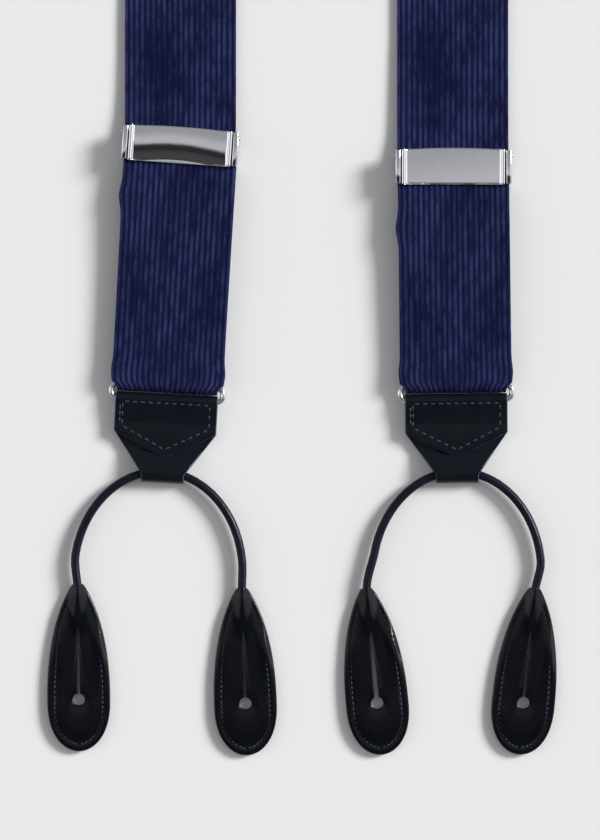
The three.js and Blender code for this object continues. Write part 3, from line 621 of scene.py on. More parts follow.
def strip(line, half, low, high, face, reverse, edge=0.3 * mm, relief=None):
    """A strip swept along a side view, in a part's own place. line is its y and z, and half its half width
    at each of those points. A row goes across the face, which is high above the line, round one edge, back
    across the reverse, which is low, and round the other edge. relief gives more height from the place
    across the strip where it is widest, the distance and y. Returns the rows, and that place and distance
    for each."""
    way = directions(line)
    distance = distances(line)
    round_edge = np.radians([65, 25, -25, -65])
    flat = np.concatenate([np.linspace(-1, 1, face), np.ones(4), np.linspace(1, -1, reverse), -np.ones(4)])
    out = np.concatenate([np.zeros(face), np.cos(round_edge), np.zeros(reverse), -np.cos(round_edge)])
    rise = np.concatenate([np.ones(face), np.sin(round_edge), -np.ones(reverse), np.sin(round_edge[::-1])])
    side_of = np.where(rise > 0, high - edge, low + edge)
    x = flat * (half[:, None] - edge) + out * edge
    cloth = np.broadcast_to(flat * (np.median(half) - edge) + out * edge, x.shape)
    lift = np.broadcast_to(side_of + rise * edge, x.shape).copy()
    if relief is not None:
        lift += relief(cloth, distance[:, None], line[:, :1]) * (rise > 0.3)
    y = line[:, :1] + way[:, 1:] * lift
    z = line[:, 1:2] - way[:, :1] * lift
    return np.stack([x, y, z], -1), np.stack([cloth, np.broadcast_to(distance[:, None], x.shape)], -1)


def from_segments(x, y, corners):
    """Distance of each point x, y from a line through corners."""
    best = np.full(np.broadcast(x, y).shape, 1.0)
    for (ax, ay), (bx, by) in zip(corners[:-1], corners[1:]):
        dx, dy = bx - ax, by - ay
        t = np.clip(((x - ax) * dx + (y - ay) * dy) / (dx * dx + dy * dy), 0, 1)
        best = np.minimum(best, np.hypot(x - ax - t * dx, y - ay - t * dy))
    return best


def tab_width(y, on_flap):
    """Half the strip's width at a distance from the ring: the flap closes to its point in straight lines,
    and the rest narrows in straight lines to the cord."""
    point = np.interp(-y, [tab_shoulder, -flap_end], [tab_half, flap_tip])
    body = np.interp(-y, [tab_shoulder, -tab_bend], [tab_half, tab_narrow])
    return np.where(on_flap, point, body)


front_height = leaf + wrap_gap + leaf / 2
flap_height = front_height + leaf + wrap_gap
over_bar = bar_height + tab_wrap
over_cord = cord_height + cord_wrap
under_cord = tab_bend + 0.75 * cord_diameter  # y of the corners on both sides of the cord's fold
tab_line = np.concatenate([
    [[flap_end, flap_height - 0.2 * mm], [-tab_shoulder, flap_height], [-8 * mm, flap_height],
     [-4 * mm, (flap_height + over_bar) / 2]],
    bow((0, bar_height), tab_wrap, 90, -90, 17),
    [[-3 * mm, leaf / 2 + 0.15 * mm], [-6 * mm, leaf / 2], [under_cord, leaf / 2]],
    bow((tab_bend, cord_height), cord_wrap, 270, 90, 17),
    [[under_cord, over_cord], [under_cord + 3 * mm, (over_cord + front_height) / 2],
     [under_cord + 6.5 * mm, front_height], [-3.4 * mm, front_height]],
])
tab_line = eased(tab_line, step=0.3 * mm, reach=0.5 * mm)
turned_back = int(np.argmax(tab_line[:, 0]))
on_flap = np.arange(len(tab_line)) <= turned_back
tab_halves = tab_width(tab_line[:, 0], on_flap)
sewn_line = [(-sewn_corner, sewn_top), (sewn_corner, sewn_top), (sewn_corner, sewn_shoulder), (0, sewn_tip),
             (-sewn_corner, sewn_shoulder), (-sewn_corner, sewn_top)]


def tab_relief(x, distance, y):
    """The flap is pressed down along its seam, and swells a little inside it."""
    from_seam = from_segments(x * (tab_halves / np.median(tab_halves))[:, None], y, sewn_line)
    on = on_flap[:, None] & (np.arange(len(tab_line))[:, None] < turned_back - 4)
    pricks = 0.7 + 0.3 * np.cos(2 * np.pi * (x + y) / tab_stitch)
    swell = 0.12 * mm * np.clip(from_seam / (4 * mm), 0, 1)
    return on * (swell - 0.28 * mm * bell(from_seam, 0.55 * mm) * pricks)


def seam_places(corners, pitch):
    """Places and directions of stitches along straight seams."""
    places, ways = [], []
    for a, b in zip(np.array(corners[:-1], float), np.array(corners[1:], float)):
        count = max(round(np.linalg.norm(b - a) / pitch), 1)
        places.append(a + (b - a) * ((np.arange(count) + 0.5) / count)[:, None])
        ways.append(np.tile((b - a) / np.linalg.norm(b - a), (count, 1)))
    return np.concatenate(places), np.concatenate(ways)


tab_leather = leather("glazed_calf_tabs", "#080d13", roughness=0.3, coat=0.07, grain_depth=0.06 * mm)

# The cut edges are sanded and painted: greyer than the face, and without its polish.
edge_paint, tree, shader = material("painted_leather_edge")
place = add_node(tree, "ShaderNodeTexCoord")
fibres = add_node(tree, "ShaderNodeTexNoise", [("Vector", place.outputs["Object"]), ("Scale", 1 / (0.8 * mm)),
                                               ("Detail", 3.0)])
tone = add_node(tree, "ShaderNodeMixRGB", [("Fac", fibres.outputs["Fac"]), ("Color1", linear("#363e52")),
                                           ("Color2", linear("#4f5970"))])
feed(tree, shader, [("Base Color", tone.outputs["Color"]), ("Roughness", 0.5), ("Specular IOR Level", 0.3)])

tab_face, tab_reverse = 104, 22  # points across each
for side in sides:
    spot = part_place(f"{side}_tab_hinge", f"{side}_tab")
    grid, _ = strip(tab_line, tab_halves, -leaf / 2, leaf / 2, tab_face, tab_reverse, edge=0.42 * mm,
                    relief=tab_relief)
    tab = shell(f"{side}_tab_strip", put(grid, spot), tab_leather)
    tab.data.materials.append(edge_paint)
    column = np.arange(grid.shape[1])
    on_edge = (column >= tab_face - 1) & (column < tab_face + 3) | (column >= tab_face + 4 + tab_reverse)
    painted = np.zeros(len(tab.data.polygons), np.int32)
    painted[:len(column) * (len(grid) - 1)] = np.tile(on_edge, len(grid) - 1)
    tab.data.polygons.foreach_set("material_index", painted)
    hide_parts(f"{side}_tab")
    back_x = -sewn_corner - 0.9 * mm
    back_run = [(back_x, sewn_top - 1 * mm), (back_x, sewn_shoulder + 1 * mm)]
    at, way = (np.concatenate(pair) for pair in zip(seam_places(sewn_line, tab_stitch),
                                                    seam_places(back_run, tab_stitch * 0.7)))
    flap_y, flap_z = tab_line[:turned_back].T
    rise = np.interp(at[:, 1], flap_y, flap_z)
    slope = np.interp(at[:, 1], flap_y, np.gradient(flap_z, flap_y))
    at3 = np.column_stack([at, rise + leaf / 2 - 0.1 * mm])
    way3 = np.column_stack([way, slope * way[:, 1]]) @ spot[1]
    up3 = np.column_stack([np.zeros(len(slope)), -slope, np.ones(len(slope))]) @ spot[1]
    seam = stitches(f"{side}_tab_stitching", put(at3, spot), way3, up3, length=1.8 * mm, radius=0.3 * mm)
    for piece in (tab, seam):
        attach(piece, f"{side}_tab")


# ---------- Wire rings ----------
# A flat-sided ring of 2 mm brass wire joins strap and tab at each end. It is butt-welded and nickel-plated.
ring_straight = 17.25 * mm  # half of each straight side
ring_pitch = 5.5 * mm  # between the middles of the two sides

# Bright nickel plate over brass, buffed on a mop: a near mirror, with the faintest orange peel.
nickel, tree, shader = material("buffed_nickel_plate")
place = add_node(tree, "ShaderNodeTexCoord")
at = ("Vector", place.outputs["Object"])
peel = add_node(tree, "ShaderNodeTexNoise", [at, ("Scale", 1 / (5 * mm)), ("Detail", 3.0)])
wear = add_node(tree, "ShaderNodeTexNoise", [at, ("Scale", 1 / (1.2 * mm)), ("Detail", 4.0)])
bump = add_node(tree, "ShaderNodeBump", [("Height", peel.outputs["Fac"]), ("Strength", 0.3),
                                         ("Distance", 0.03 * mm)])
rough = add_node(tree, "ShaderNodeMapRange", [("Value", wear.outputs["Fac"]), ("To Min", 0.03),
                                              ("To Max", 0.08)])
tone = add_node(tree, "ShaderNodeMixRGB", [("Fac", peel.outputs["Fac"]), ("Color1", linear("#c9cbcf")),
                                           ("Color2", linear("#d6d6d8"))])
feed(tree, shader, [("Base Color", tone.outputs["Color"]), ("Roughness", rough.outputs["Result"]),
                    ("Normal", bump.outputs["Normal"]), ("Metallic", 1.0)])

bend = np.radians(np.linspace(90, -90, 25))
end_radius = ring_pitch / 2
right_end = np.column_stack([ring_straight + end_radius * np.cos(bend), end_radius * (np.sin(bend) - 1)])
straight_x = np.linspace(-ring_straight, ring_straight, 40)[1:-1]
ring_line = np.concatenate([
    right_end, np.column_stack([-straight_x, np.full(len(straight_x), -ring_pitch)]),
    right_end[::-1] * [-1, 1], np.column_stack([straight_x, np.zeros(len(straight_x))]),
])
ring_line = np.column_stack([ring_line, np.full(len(ring_line), bar_height)])
for side in sides:
    spot = part_place(f"{side}_ring_hinge", f"{side}_tab")
    wire = tube(ring_line, ring_wire / 2, looped=True)
    ring = shell(f"{side}_wire_ring", put(wire, spot), nickel, looped=True)
    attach(ring, f"{side}_ring")
    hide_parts(f"{side}_ring")


# ---------- Adjusters ----------
# Hinged clip adjusters of nickel-plated brass. The frame is two cheeks with a post folded over each edge of
# the strap and a rear bar for the strap's sewn end; the clip snaps down between the posts on a pin, teeth
# below.
strap_half = 19.8 * mm
cheek = 0.5 * mm
cheek_inner = strap_half + 0.3 * mm
cheek_outer = cheek_inner + cheek
post_width = 1.9 * mm
post_half_length = 6 * mm
clip_low = 6.9 * mm  # underside of the clip above the table
post_top = clip_low + 1.4 * mm
clip_top = clip_low + 0.8 * mm
rib_radius = 0.75 * mm
clip_half = cheek_outer - post_width - 0.3 * mm
clip_half_length = 6.25 * mm
clip_arch = 0.6 * mm
rear_bar = (-4.5 * mm, 2.45 * mm)  # y and height
bar_radius = 0.7 * mm
pin_ahead = 3.9 * mm
pin_height = clip_top - 0.95 * mm
barrel_radius = 0.75 * mm
barrel_end = clip_half - 0.05 * mm
pin_end = cheek_outer + 0.55 * mm
plate_edge = 0.35 * mm  # radius that the clip's plate is rolled over by
tooth_pitch = 2.4 * mm
tooth_count = 14


def turned_rod(profile, y, z, around=24):
    """A rod turned about a line along X: circles of each radius at each x of its profile."""
    x, radius = np.array(profile).T
    angle = circle(around)
    return np.stack([np.broadcast_to(x[:, None], (len(x), around)), y + radius[:, None] * np.cos(angle),
                     z + radius[:, None] * np.sin(angle)], -1)


def rounded_box(x0, x1, z0, z1, radius, y0, y1):
    """A bar along Y whose section is a rectangle with round corners. Each end shrinks by a quarter circle."""
    angle = np.radians(np.arange(0, 360, 15))
    cx, cz = np.sign(np.cos(angle)), np.sign(np.sin(angle))
    ease = 0.2 * mm
    turn = np.radians(np.linspace(0, 90, 5))
    inset, shrink = ease * (1 - np.cos(turn)), ease * (1 - np.sin(turn))
    y = np.concatenate([y0 + inset, y1 - inset[::-1]])
    shrink = np.concatenate([shrink, shrink[::-1]])[:, None]
    half_x, half_z = (x1 - x0) / 2 - shrink, (z1 - z0) / 2 - shrink
    x = (x0 + x1) / 2 + cx * (half_x - radius) + radius * np.cos(angle)
    z = (z0 + z1) / 2 + cz * (half_z - radius) + radius * np.sin(angle)
    return np.stack([x, np.broadcast_to(y[:, None], x.shape), z], -1)


def cheek_plate(sign):
    """One cheek: its outline, from the posts down to the lug round the rear bar, at four depths."""
    lug = 2 * bar_radius
    round_lug = bow(rear_bar, lug, 180, 360, 13)
    top, front = post_top - 0.1 * mm, post_half_length
    cut = 0.4 * mm  # off the two upper corners
    outline = np.concatenate([[[-front + cut, top], [-front, top - cut]], round_lug,
                              [[front, pin_height - 0.95 * mm], [front, top - cut], [front - cut, top]]])
    middle = outline.mean(0)
    rows = [np.column_stack([np.full(len(outline), sign * x), middle + (outline - middle) * scale])
            for x, scale in ((cheek_inner, 0.97), (cheek_inner + 0.08 * mm, 1), (cheek_outer - 0.12 * mm, 1),
                             (cheek_outer, 0.96))]
    return np.array(rows)


def clip_grid(crown_from, crown):
    """The clip's plate and ribs: height over x and y. Each rib is a half circle, the far edge is an arch of
    clip_arch, both edges roll over, and the plate is crowned by crown (y - y0)^2 / 2 about a slanting
    line."""
    over_rib = rib_radius * (1 - np.cos(np.radians(np.linspace(0, 180, 17))))
    between = clip_half - 2 * rib_radius
    x = np.concatenate([-clip_half + over_rib, np.linspace(-between, between, 42)[1:-1],
                        clip_half - over_rib[::-1]])
    t = np.concatenate([[0, 0.012, 0.03, 0.055], np.linspace(0.09, 0.91, 22), [0.945, 0.97, 0.988, 1]])

    def to_far_edge(x):
        """y of each row, a share t of the way from the near edge to the arch of the far one."""
        return t[:, None] * (2 * clip_half_length + clip_arch * (1 - (x / clip_half) ** 2)) - clip_half_length

    y = to_far_edge(x)
    from_middle = clip_half - rib_radius - np.abs(x)
    rib = np.sqrt(np.maximum(rib_radius ** 2 - from_middle ** 2, 0))
    rib_top = np.where(np.abs(from_middle) < rib_radius, clip_low + rib_radius + rib, 0)
    line = crown_from[0] + crown_from[1] * x + crown_from[2] * np.cos(x / clip_half * 1.7)
    plate_top = clip_top + 0.05 * mm - crown / 2 * (y - line) ** 2
    edge = np.minimum(t, 1 - t)[:, None] * 2 * clip_half_length
    top = np.maximum(np.maximum(plate_top, rib_top) - rounded_off(edge, plate_edge), clip_low + 0.1 * mm)
    upper = np.stack([np.broadcast_to(x, top.shape), y, top], -1)
    low_x = np.linspace(clip_half, -clip_half, 9)
    low_y = to_far_edge(low_x)
    lower = np.stack([np.broadcast_to(low_x, low_y.shape), low_y, np.full(low_y.shape, clip_low)], -1)
    return np.concatenate([upper, lower], 1)


def teeth_grid():
    """The comb of teeth: a zigzag edge, half a pitch between each point and the next gap, on a plate 0.7 mm
    thick."""
    x = np.arange(-tooth_count, tooth_count + 1) * tooth_pitch / 2
    low = np.where(np.arange(len(x)) % 2, pin_height - 2.1 * mm, pin_height - 0.75 * mm)
    y = np.array([-0.35, 0.35, 0.35, -0.35]) * mm + pin_ahead
    z = np.stack([np.full(len(x), pin_height), np.full(len(x), pin_height), low, low], 1)
    return np.stack([np.broadcast_to(x[:, None], z.shape), np.broadcast_to(y, z.shape), z], -1)


# The left clip has been bent a little by wear, so it takes in the dark gap overhead; the right one is flat.
crowns = {"left": ((3.4 * mm, -0.02, 1.8 * mm), 14.0), "right": ((10.9 * mm, 0.15, 0.0), 1.8)}
adjusters = {}
for side in ("left", "right"):
    origin, axes = part_place(f"{side}_clip_hinge", f"{side}_tab")
    spot = adjusters[side] = (origin - axes[1] * pin_ahead, axes)
    frame_parts = [rounded_box(*sorted((sign * (cheek_outer - post_width), sign * (cheek_outer - 0.05 * mm))),
                               clip_low, post_top, 0.5 * mm, -post_half_length, post_half_length)
                   for sign in (-1, 1)]
    frame_parts += [cheek_plate(-1), cheek_plate(1),
                    turned_rod([(-cheek_inner, bar_radius), (cheek_inner, bar_radius)], *rear_bar)]
    head = [(pin_end - 0.45 * mm, 0.4 * mm), (pin_end - 0.4 * mm, 0.6 * mm), (pin_end - 0.12 * mm, 0.55 * mm),
            (pin_end, 0.3 * mm)]
    pin = [(-x, r) for x, r in head[::-1]] + head
    rim = 0.1 * mm
    barrel = [(-barrel_end, barrel_radius - rim), (-barrel_end + rim, barrel_radius),
              (barrel_end - rim, barrel_radius), (barrel_end, barrel_radius - rim)]
    clip_parts = [clip_grid(*crowns[side]), turned_rod(barrel, pin_ahead, pin_height), teeth_grid()]
    for label, grids, body in (("frame", frame_parts, "adjuster"), ("clip", clip_parts, "clip"),
                               ("pin", [turned_rod(pin, pin_ahead, pin_height)], "adjuster")):
        for number, grid in enumerate(grids):
            piece = shell(f"{side}_{label}_{number + 1}", put(grid, spot), nickel)
            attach(piece, f"{side}_{body}")
            if number == 0:
                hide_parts(f"{side}_adjuster_{label}")


# ---------- Corduroy straps ----------
# Each front strap is one length of corduroy, 39.6 mm wide, with its edges turned in over a twill lining.
# From the patch it comes over the shoulder, under the clip, down to the ring and back up to the rear bar.
strap_middle = 0.7 * mm  # of the strap above the table, where it lies flat
wale = 1.95 * mm
wale_height = 0.16 * mm
lining_low, lining_high = -0.7 * mm, -0.42 * mm
strap_low, strap_high = -0.5 * mm, 0.72 * mm
rear_wrap = 1.75 * mm
passing = 5.9 * mm  # height of the strap's middle over the rear bar
front_layer = 4.7 * mm  # and over the ring
ring_wrap = 2.12 * mm
fold_half = 17.85 * mm  # the strap is bunched to this where it goes round the ring
sewn_end = 20 * mm
lining_inset = 2.4 * mm  # from each edge of the strap
lining_stitch = (1.9 * mm, 3.2 * mm)  # its length and pitch
slips = {"left": 0.6 * mm, "right": 0.3 * mm}  # the lower layer lies this far out of line
bulge_below = {"left": 14 * mm, "right": 17 * mm}  # one edge swells out this far below the rear bar

# Cotton corduroy in navy: soft ribs of cut pile, unevenly brushed, with painted light on the crests and
# painted shade in the furrows.
corduroy, tree, shader = material("cotton_corduroy_navy")
cloth = add_node(tree, "ShaderNodeUVMap", uv_map="cloth")
across = add_node(tree, "ShaderNodeSeparateXYZ", [("Vector", cloth.outputs["UV"])])
rib = add_node(tree, "ShaderNodeMath", [(0, across.outputs["X"]), (1, 0.5)], operation="PINGPONG")
# Painted light and shade: this mask lightens the crest of each rib and leaves the furrows dark as painted
# shade.
crest = add_node(tree, "ShaderNodeMapRange", [("Value", rib.outputs["Value"]), ("From Min", 0.46),
                                              ("From Max", 0.1)], interpolation_type="SMOOTHSTEP")
unevenness = []
for per_wale, detail, roughness in (((4.0, 3.2, 1.0), 4.0, 0.7), ((0.8, 0.3, 1.0), 3.0, 0.5),
                                    ((0.16, 0.06, 1.0), 2.0, 0.5)):
    stretched = add_node(tree, "ShaderNodeMapping", [("Vector", cloth.outputs["UV"]), ("Scale", per_wale)])
    unevenness.append(add_node(tree, "ShaderNodeTexNoise", [("Vector", stretched.outputs["Vector"]),
                                                            ("Scale", 1.0), ("Detail", detail),
                                                            ("Roughness", roughness)]))
pile, brushed, broad = unevenness
lit = add_node(tree, "ShaderNodeMath", [(0, pile.outputs["Fac"]), (1, brushed.outputs["Fac"])],
               operation="MULTIPLY")
lit_broad = add_node(tree, "ShaderNodeMath", [(0, lit.outputs["Value"]), (1, broad.outputs["Fac"])],
                     operation="MULTIPLY")
level = add_node(tree, "ShaderNodeMapRange", [("Value", lit_broad.outputs["Value"]), ("From Min", 0.07),
                                              ("From Max", 0.185)])
# The painted crest light and furrow shade, times the cloth's own uneven brushing, chooses between the dark
# and the light navy.
painted_light_share = add_node(tree, "ShaderNodeMath", [(0, crest.outputs["Result"]), (1, level.outputs["Result"])],
                       operation="MULTIPLY")
tone = add_node(tree, "ShaderNodeMixRGB", [("Fac", painted_light_share.outputs["Value"]),
                                           ("Color1", linear("#0f1231")), ("Color2", linear("#2f355f"))])
fuzz = add_node(tree, "ShaderNodeBump", [("Height", pile.outputs["Fac"]), ("Strength", 0.8),
                                         ("Distance", 0.22 * mm)])
feed(tree, shader, [("Base Color", tone.outputs["Color"]), ("Normal", fuzz.outputs["Normal"]),
                    ("Roughness", 0.95), ("Specular IOR Level", 0.05), ("Sheen Weight", 0.16),
                    ("Sheen Roughness", 0.4), ("Sheen Tint", linear("#6a74b0"))])

# Cotton and viscose twill lining: fine diagonal ribs about 0.6 mm apart, with a slight lustre.
twill, tree, shader = material("navy_twill_lining")
cloth = add_node(tree, "ShaderNodeUVMap", uv_map="cloth")
ribs = add_node(tree, "ShaderNodeTexWave", [("Vector", cloth.outputs["UV"]), ("Scale", 0.5),
                                            ("Distortion", 0.6)], bands_direction="DIAGONAL")
tone = add_node(tree, "ShaderNodeMixRGB", [("Fac", ribs.outputs["Fac"]), ("Color1", linear("#151a2e")),
                                           ("Color2", linear("#2a3150"))])
bump = add_node(tree, "ShaderNodeBump", [("Height", ribs.outputs["Fac"]), ("Strength", 0.5),
                                         ("Distance", 0.12 * mm)])
feed(tree, shader, [("Base Color", tone.outputs["Color"]), ("Normal", bump.outputs["Normal"]),
                    ("Roughness", 0.6), ("Specular IOR Level", 0.2), ("Sheen Weight", 0.08)])


def waves(x, distance, seed):
    """Slow unevenness of cloth: a sum of four sine waves, each of its own length, slant and phase."""
    draw = np.random.default_rng(seed)
    total = 0
    for length in (17, 29, 43, 71):
        slant, phase = draw.uniform(-0.5, 0.5), draw.uniform(0, 6.28)
        total = total + np.sin(2 * np.pi * (distance + slant * x) / (length * mm) + phase)
    return total / 4


def corded(seed):
    """The relief of the face: ribs that follow the root of |cos(pi x / wale)|, each a little uneven."""
    def relief(x, distance, _):
        rib = np.sqrt(np.abs(np.cos(np.pi * x / wale)))
        own = np.sin(x / wale * 9.1 + distance / (7 * mm)) * 0.12
        return wale_height * (rib * (1 + own) - 0.75) + 0.1 * mm * waves(x, distance, seed)
    return relief


def strap_pieces(name, line, half, move, seed):
    """The corduroy, lining and stitching of one stretch of strap, each carried into the frame by move, and
    the stretch's length."""
    grid, uv = strip(line, half, strap_low, strap_high, face=161, reverse=15, relief=corded(seed))
    face_piece = shell(f"{name}_corduroy", move(grid), corduroy, uv=uv / wale)
    grid, uv = strip(line[1:-1], half[1:-1] - lining_inset, lining_low, lining_high, face=9, reverse=25,
                     edge=0.1 * mm)
    lining_piece = shell(f"{name}_lining", move(grid), twill, uv=uv / mm)
    stitch_length, stitch_pitch = lining_stitch
    distance = distances(line)
    at = np.arange(4 * mm, distance[-1] - 4 * mm, stitch_pitch)
    slope_y, slope_z = (np.interp(at, distance, np.gradient(column, distance)) for column in line.T)
    inner = np.interp(at, distance, half) - lining_inset - 0.9 * mm
    low = lining_low + 0.03 * mm
    starts, middles, ends = [], [], []
    for sign in (-1, 1):
        for ahead, row in ((-0.9 * mm, starts), (0, middles), (0.9 * mm, ends)):
            y, z = points_at(line, at + ahead).T
            places = np.stack([sign * inner, y + slope_z * low, z - slope_y * low], -1)
            row.append(move(places[:, None])[:, 0])
    ways = np.concatenate(ends) - np.concatenate(starts)
    inwards = np.concatenate([middles[1] - middles[0], middles[0] - middles[1]])
    # Stitches that the fold would hide or squeeze are left out.
    kept = (np.linalg.norm(inwards, axis=1) > strap_half) & (np.linalg.norm(ways, axis=1) > 1.5 * mm)
    seam = stitches(f"{name}_lining_stitching", np.concatenate(middles)[kept], ways[kept],
                    np.cross(ways, inwards)[kept], stitch_length, radius=0.16 * mm)
    return face_piece, lining_piece, seam, distance[-1]


strap_flats = {}
for seed, side in enumerate(("left", "right")):
    ring_spot = part_place(f"{side}_ring_hinge", f"{side}_tab")
    loop_length = float((adjusters[side][0] - ring_spot[0]) @ ring_spot[1][1])
    bar_y = loop_length + rear_bar[0]
    sewn_height = 1.4 * mm + wrap_gap + strap_middle
    passing_end = bar_y + 0.3 * mm
    loop_line = np.concatenate([
        [[passing_end, passing], [bar_y - 3 * mm, passing + 0.05 * mm], [bar_y - 8 * mm, passing + 0.1 * mm],
         [bar_y - 20 * mm, passing - 0.25 * mm], [bar_y / 2, (passing + front_layer) / 2 - 0.2 * mm],
         [8 * mm, front_layer + 0.05 * mm]],
        bow((0, bar_height), ring_wrap, 90, 270, 25),
        [[4 * mm, strap_middle], [bar_y - 8 * mm, strap_middle]],
        bow((bar_y, rear_bar[1]), rear_wrap, -90, 90, 19),
        [[bar_y - 3 * mm, rear_bar[1] + rear_wrap - 0.5 * mm],
         [bar_y - 6 * mm, (rear_bar[1] + rear_wrap + sewn_height) / 2 - 0.1 * mm],
         [bar_y - 9 * mm, sewn_height + 0.1 * mm], [bar_y - 12 * mm, sewn_height],
         [bar_y - sewn_end, sewn_height]],
    ])
    loop_line = eased(loop_line, step=0.55 * mm, reach=0.8 * mm)
    half = np.interp(loop_line[:, 0], [-1.3 * mm, 0.55 * mm], [fold_half, strap_half])
    half += (loop_line[:, 0] > 0.5 * mm) * 0.5 * mm * bell(loop_line[:, 0] - 4.5 * mm, 3.5 * mm)
    puffed = bar_y - bulge_below[side]

    def into_loop(grid):
        """Carries the loop into the frame. Its lower layer lies a little out of line with the one above,
        and one edge of the upper layer swells out by 1 mm below the adjuster, by a bell curve."""
        x, y, z = np.moveaxis(grid, -1, 0)
        tail = bar_y - 8 * mm
        swell = -1 * mm * np.clip((-x - 0.6 * strap_half) / (0.4 * strap_half), 0, 1) ** 2
        slip = slips[side] * np.clip((y - 0.3 * tail) / tail, 0, 1)
        aside = np.where(z > 3.4 * mm, swell * bell(y - puffed, 4.5 * mm), slip)
        return put(np.stack([x + aside, y, z], -1), ring_spot)

    *pieces, loop_run = strap_pieces(f"{side}_loop", loop_line, half, into_loop, seed + 3)
    for piece, slot in zip(pieces, ("corduroy", "lining", "lining")):
        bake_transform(piece)
    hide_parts(f"{side}_strap_loop")
    strap_flats[side] = [*pieces[:2], loop_run]

# Over the shoulder each strap is laid out straight along +Y and then turned over a slanting crease.
shoulder_radius = 1.65 * mm
shoulder_turn = math.radians(18)  # how far each strap turns inwards there
patch_low, patch_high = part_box("back_patch_leather")
patch_x, patch_top = (patch_low.x + patch_high.x) / 2, patch_high.y
in_patch = 40 * mm  # of each strap below the patch's top edge
strap_turns = {"left": 3.1, "right": -0.8}  # from the adjuster's line to the strap's, in degrees
fall_run = np.array([0, 6, 12, 22, 45, 82, 112, 137]) * mm
fall_height = np.array([5.9, 4.15, 2.5, 1.8, 1.5, 1.1, 0.8, 0.7]) * mm
swing_length = 30 * mm
crease_before, crease_after = 22 * mm, 27 * mm  # of strap that the slanting crease takes up
for seed, side in enumerate(("left", "right")):
    (adjuster_x, adjuster_y, _), axes = adjusters[side]
    start = adjuster_y + rear_bar[0] + 0.6 * mm
    inward = 1 if side == "left" else -1
    slant = shoulder_turn / 2 * inward
    strap_aside = strap_half / math.cos(shoulder_turn)
    crease_up = (abs(adjuster_x - patch_x) - strap_aside) / math.tan(shoulder_turn)
    crease = np.array([adjuster_x, patch_top + crease_up])
    spare = 2 * strap_half * math.tan(shoulder_turn)
    rolled_length = math.pi * shoulder_radius / math.cos(slant)
    end = crease[1] + rolled_length + spare + (crease[1] - patch_top + in_patch) / math.cos(shoulder_turn)
    crease_start, crease_end = crease[1] - crease_before, crease[1] + crease_after
    y = np.concatenate([np.arange(start, crease_start, 1.6 * mm),
                        np.arange(crease_start, crease_end, 0.4 * mm), np.arange(crease_end, end, 1.6 * mm)])
    height = np.interp(y - adjuster_y - rear_bar[0], fall_run, fall_height)
    height = np.convolve(np.pad(height, 4, mode="edge"), np.ones(9) / 9, "valid")
    turn = math.radians(-strap_turns[side])

    def over_shoulder(grid):
        """Swings the strap's first 30 mm into line, and rolls what is past the crease back over a radius:
        with u the distance past the crease and n the height over the strap's middle, a point goes to (R -
        n) sin(u / R) past the crease and R - (R - n) cos(u / R) up, and after half a turn runs back."""
        x, y, z = np.moveaxis(grid, -1, 0)
        swing = turn * (1 - soft_step(np.clip((y - start) / swing_length, 0, 1)))
        x, y = adjuster_x + x * np.cos(swing), y + x * np.sin(swing)
        along = np.array([math.cos(slant), math.sin(slant)])
        ahead = np.array([-math.sin(slant), math.cos(slant)])
        v = (x - crease[0]) * along[0] + (y - crease[1]) * along[1]
        u = (x - crease[0]) * ahead[0] + (y - crease[1]) * ahead[1]
        n = z - strap_middle
        angle = np.clip(u / shoulder_radius, 0, np.pi)
        past = np.where(u <= 0, u, (shoulder_radius - n) * np.sin(angle)
                        - np.maximum(u - np.pi * shoulder_radius, 0))
        rolled = strap_middle + shoulder_radius - (shoulder_radius - n) * np.cos(angle)
        x = crease[0] + along[0] * v + ahead[0] * past
        y = crease[1] + along[1] * v + ahead[1] * past
        hidden = angle >= np.pi
        limit = patch_x - inward * 0.15 * mm
        x = np.where(hidden, np.minimum(x, limit) if inward > 0 else np.maximum(x, limit), x)
        y = np.where(hidden, np.maximum(y, patch_top - in_patch), y)
        return np.stack([x, y, np.where(u <= 0, z, rolled)], -1)

    line = np.column_stack([y, height])
    half = np.full(len(y), strap_half)
    # The strip's face is high where it runs towards -Y, so this one is laid from the patch to the adjuster.
    *pieces, run_length = strap_pieces(f"{side}_shoulder", line[::-1], half, over_shoulder, seed + 11)
    for piece, slot in zip(pieces, ("corduroy", "lining", "lining")):
        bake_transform(piece)
    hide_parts(f"{side}_shoulder_strap")
    loop_piece, loop_lining, loop_run = strap_flats[side]


# ---------- Back elastic ----------
# Woven elastic webbing, 36 mm wide, from the back patch down to the rear ring, round it and sewn to itself.
# Its inner side is up.
elastic_half = 18 * mm
elastic_low, elastic_high = -0.68 * mm, 0.68 * mm
rear_spot = part_place("rear_ring_hinge", "rear_tab")
ring_y, rear_top = rear_spot[0][1], rear_spot[0][2]
folded = strap_middle + 2 * shoulder_radius
patch_bottom = patch_low.y
run = patch_bottom - ring_y
low_run = rear_top - front_layer
turned_end = np.array([[7 * mm, rear_top - strap_middle - 0.7 * mm], [14 * mm, low_run + 2.1 * mm]])

# Elastic webbing of polyester over rubber: fine lengthwise ribs 1.2 mm apart with small cross threads.
webbing, tree, shader = material("woven_elastic_webbing")
cloth = add_node(tree, "ShaderNodeUVMap", uv_map="cloth")
lengthwise = add_node(tree, "ShaderNodeTexWave", [("Vector", cloth.outputs["UV"]), ("Scale", 0.262)],
                      bands_direction="X")
crosswise = add_node(tree, "ShaderNodeTexWave", [("Vector", cloth.outputs["UV"]), ("Scale", 0.5),
                                                 ("Distortion", 0.8)], bands_direction="Y")
weave = add_node(tree, "ShaderNodeMath", [(0, lengthwise.outputs["Fac"]), (1, crosswise.outputs["Fac"])],
                 operation="MULTIPLY")
tone = add_node(tree, "ShaderNodeMixRGB", [("Fac", weave.outputs["Value"]), ("Color1", linear("#11142a")),
                                           ("Color2", linear("#2b3156"))])
bump = add_node(tree, "ShaderNodeBump", [("Height", weave.outputs["Value"]), ("Strength", 0.6),
                                         ("Distance", 0.15 * mm)])
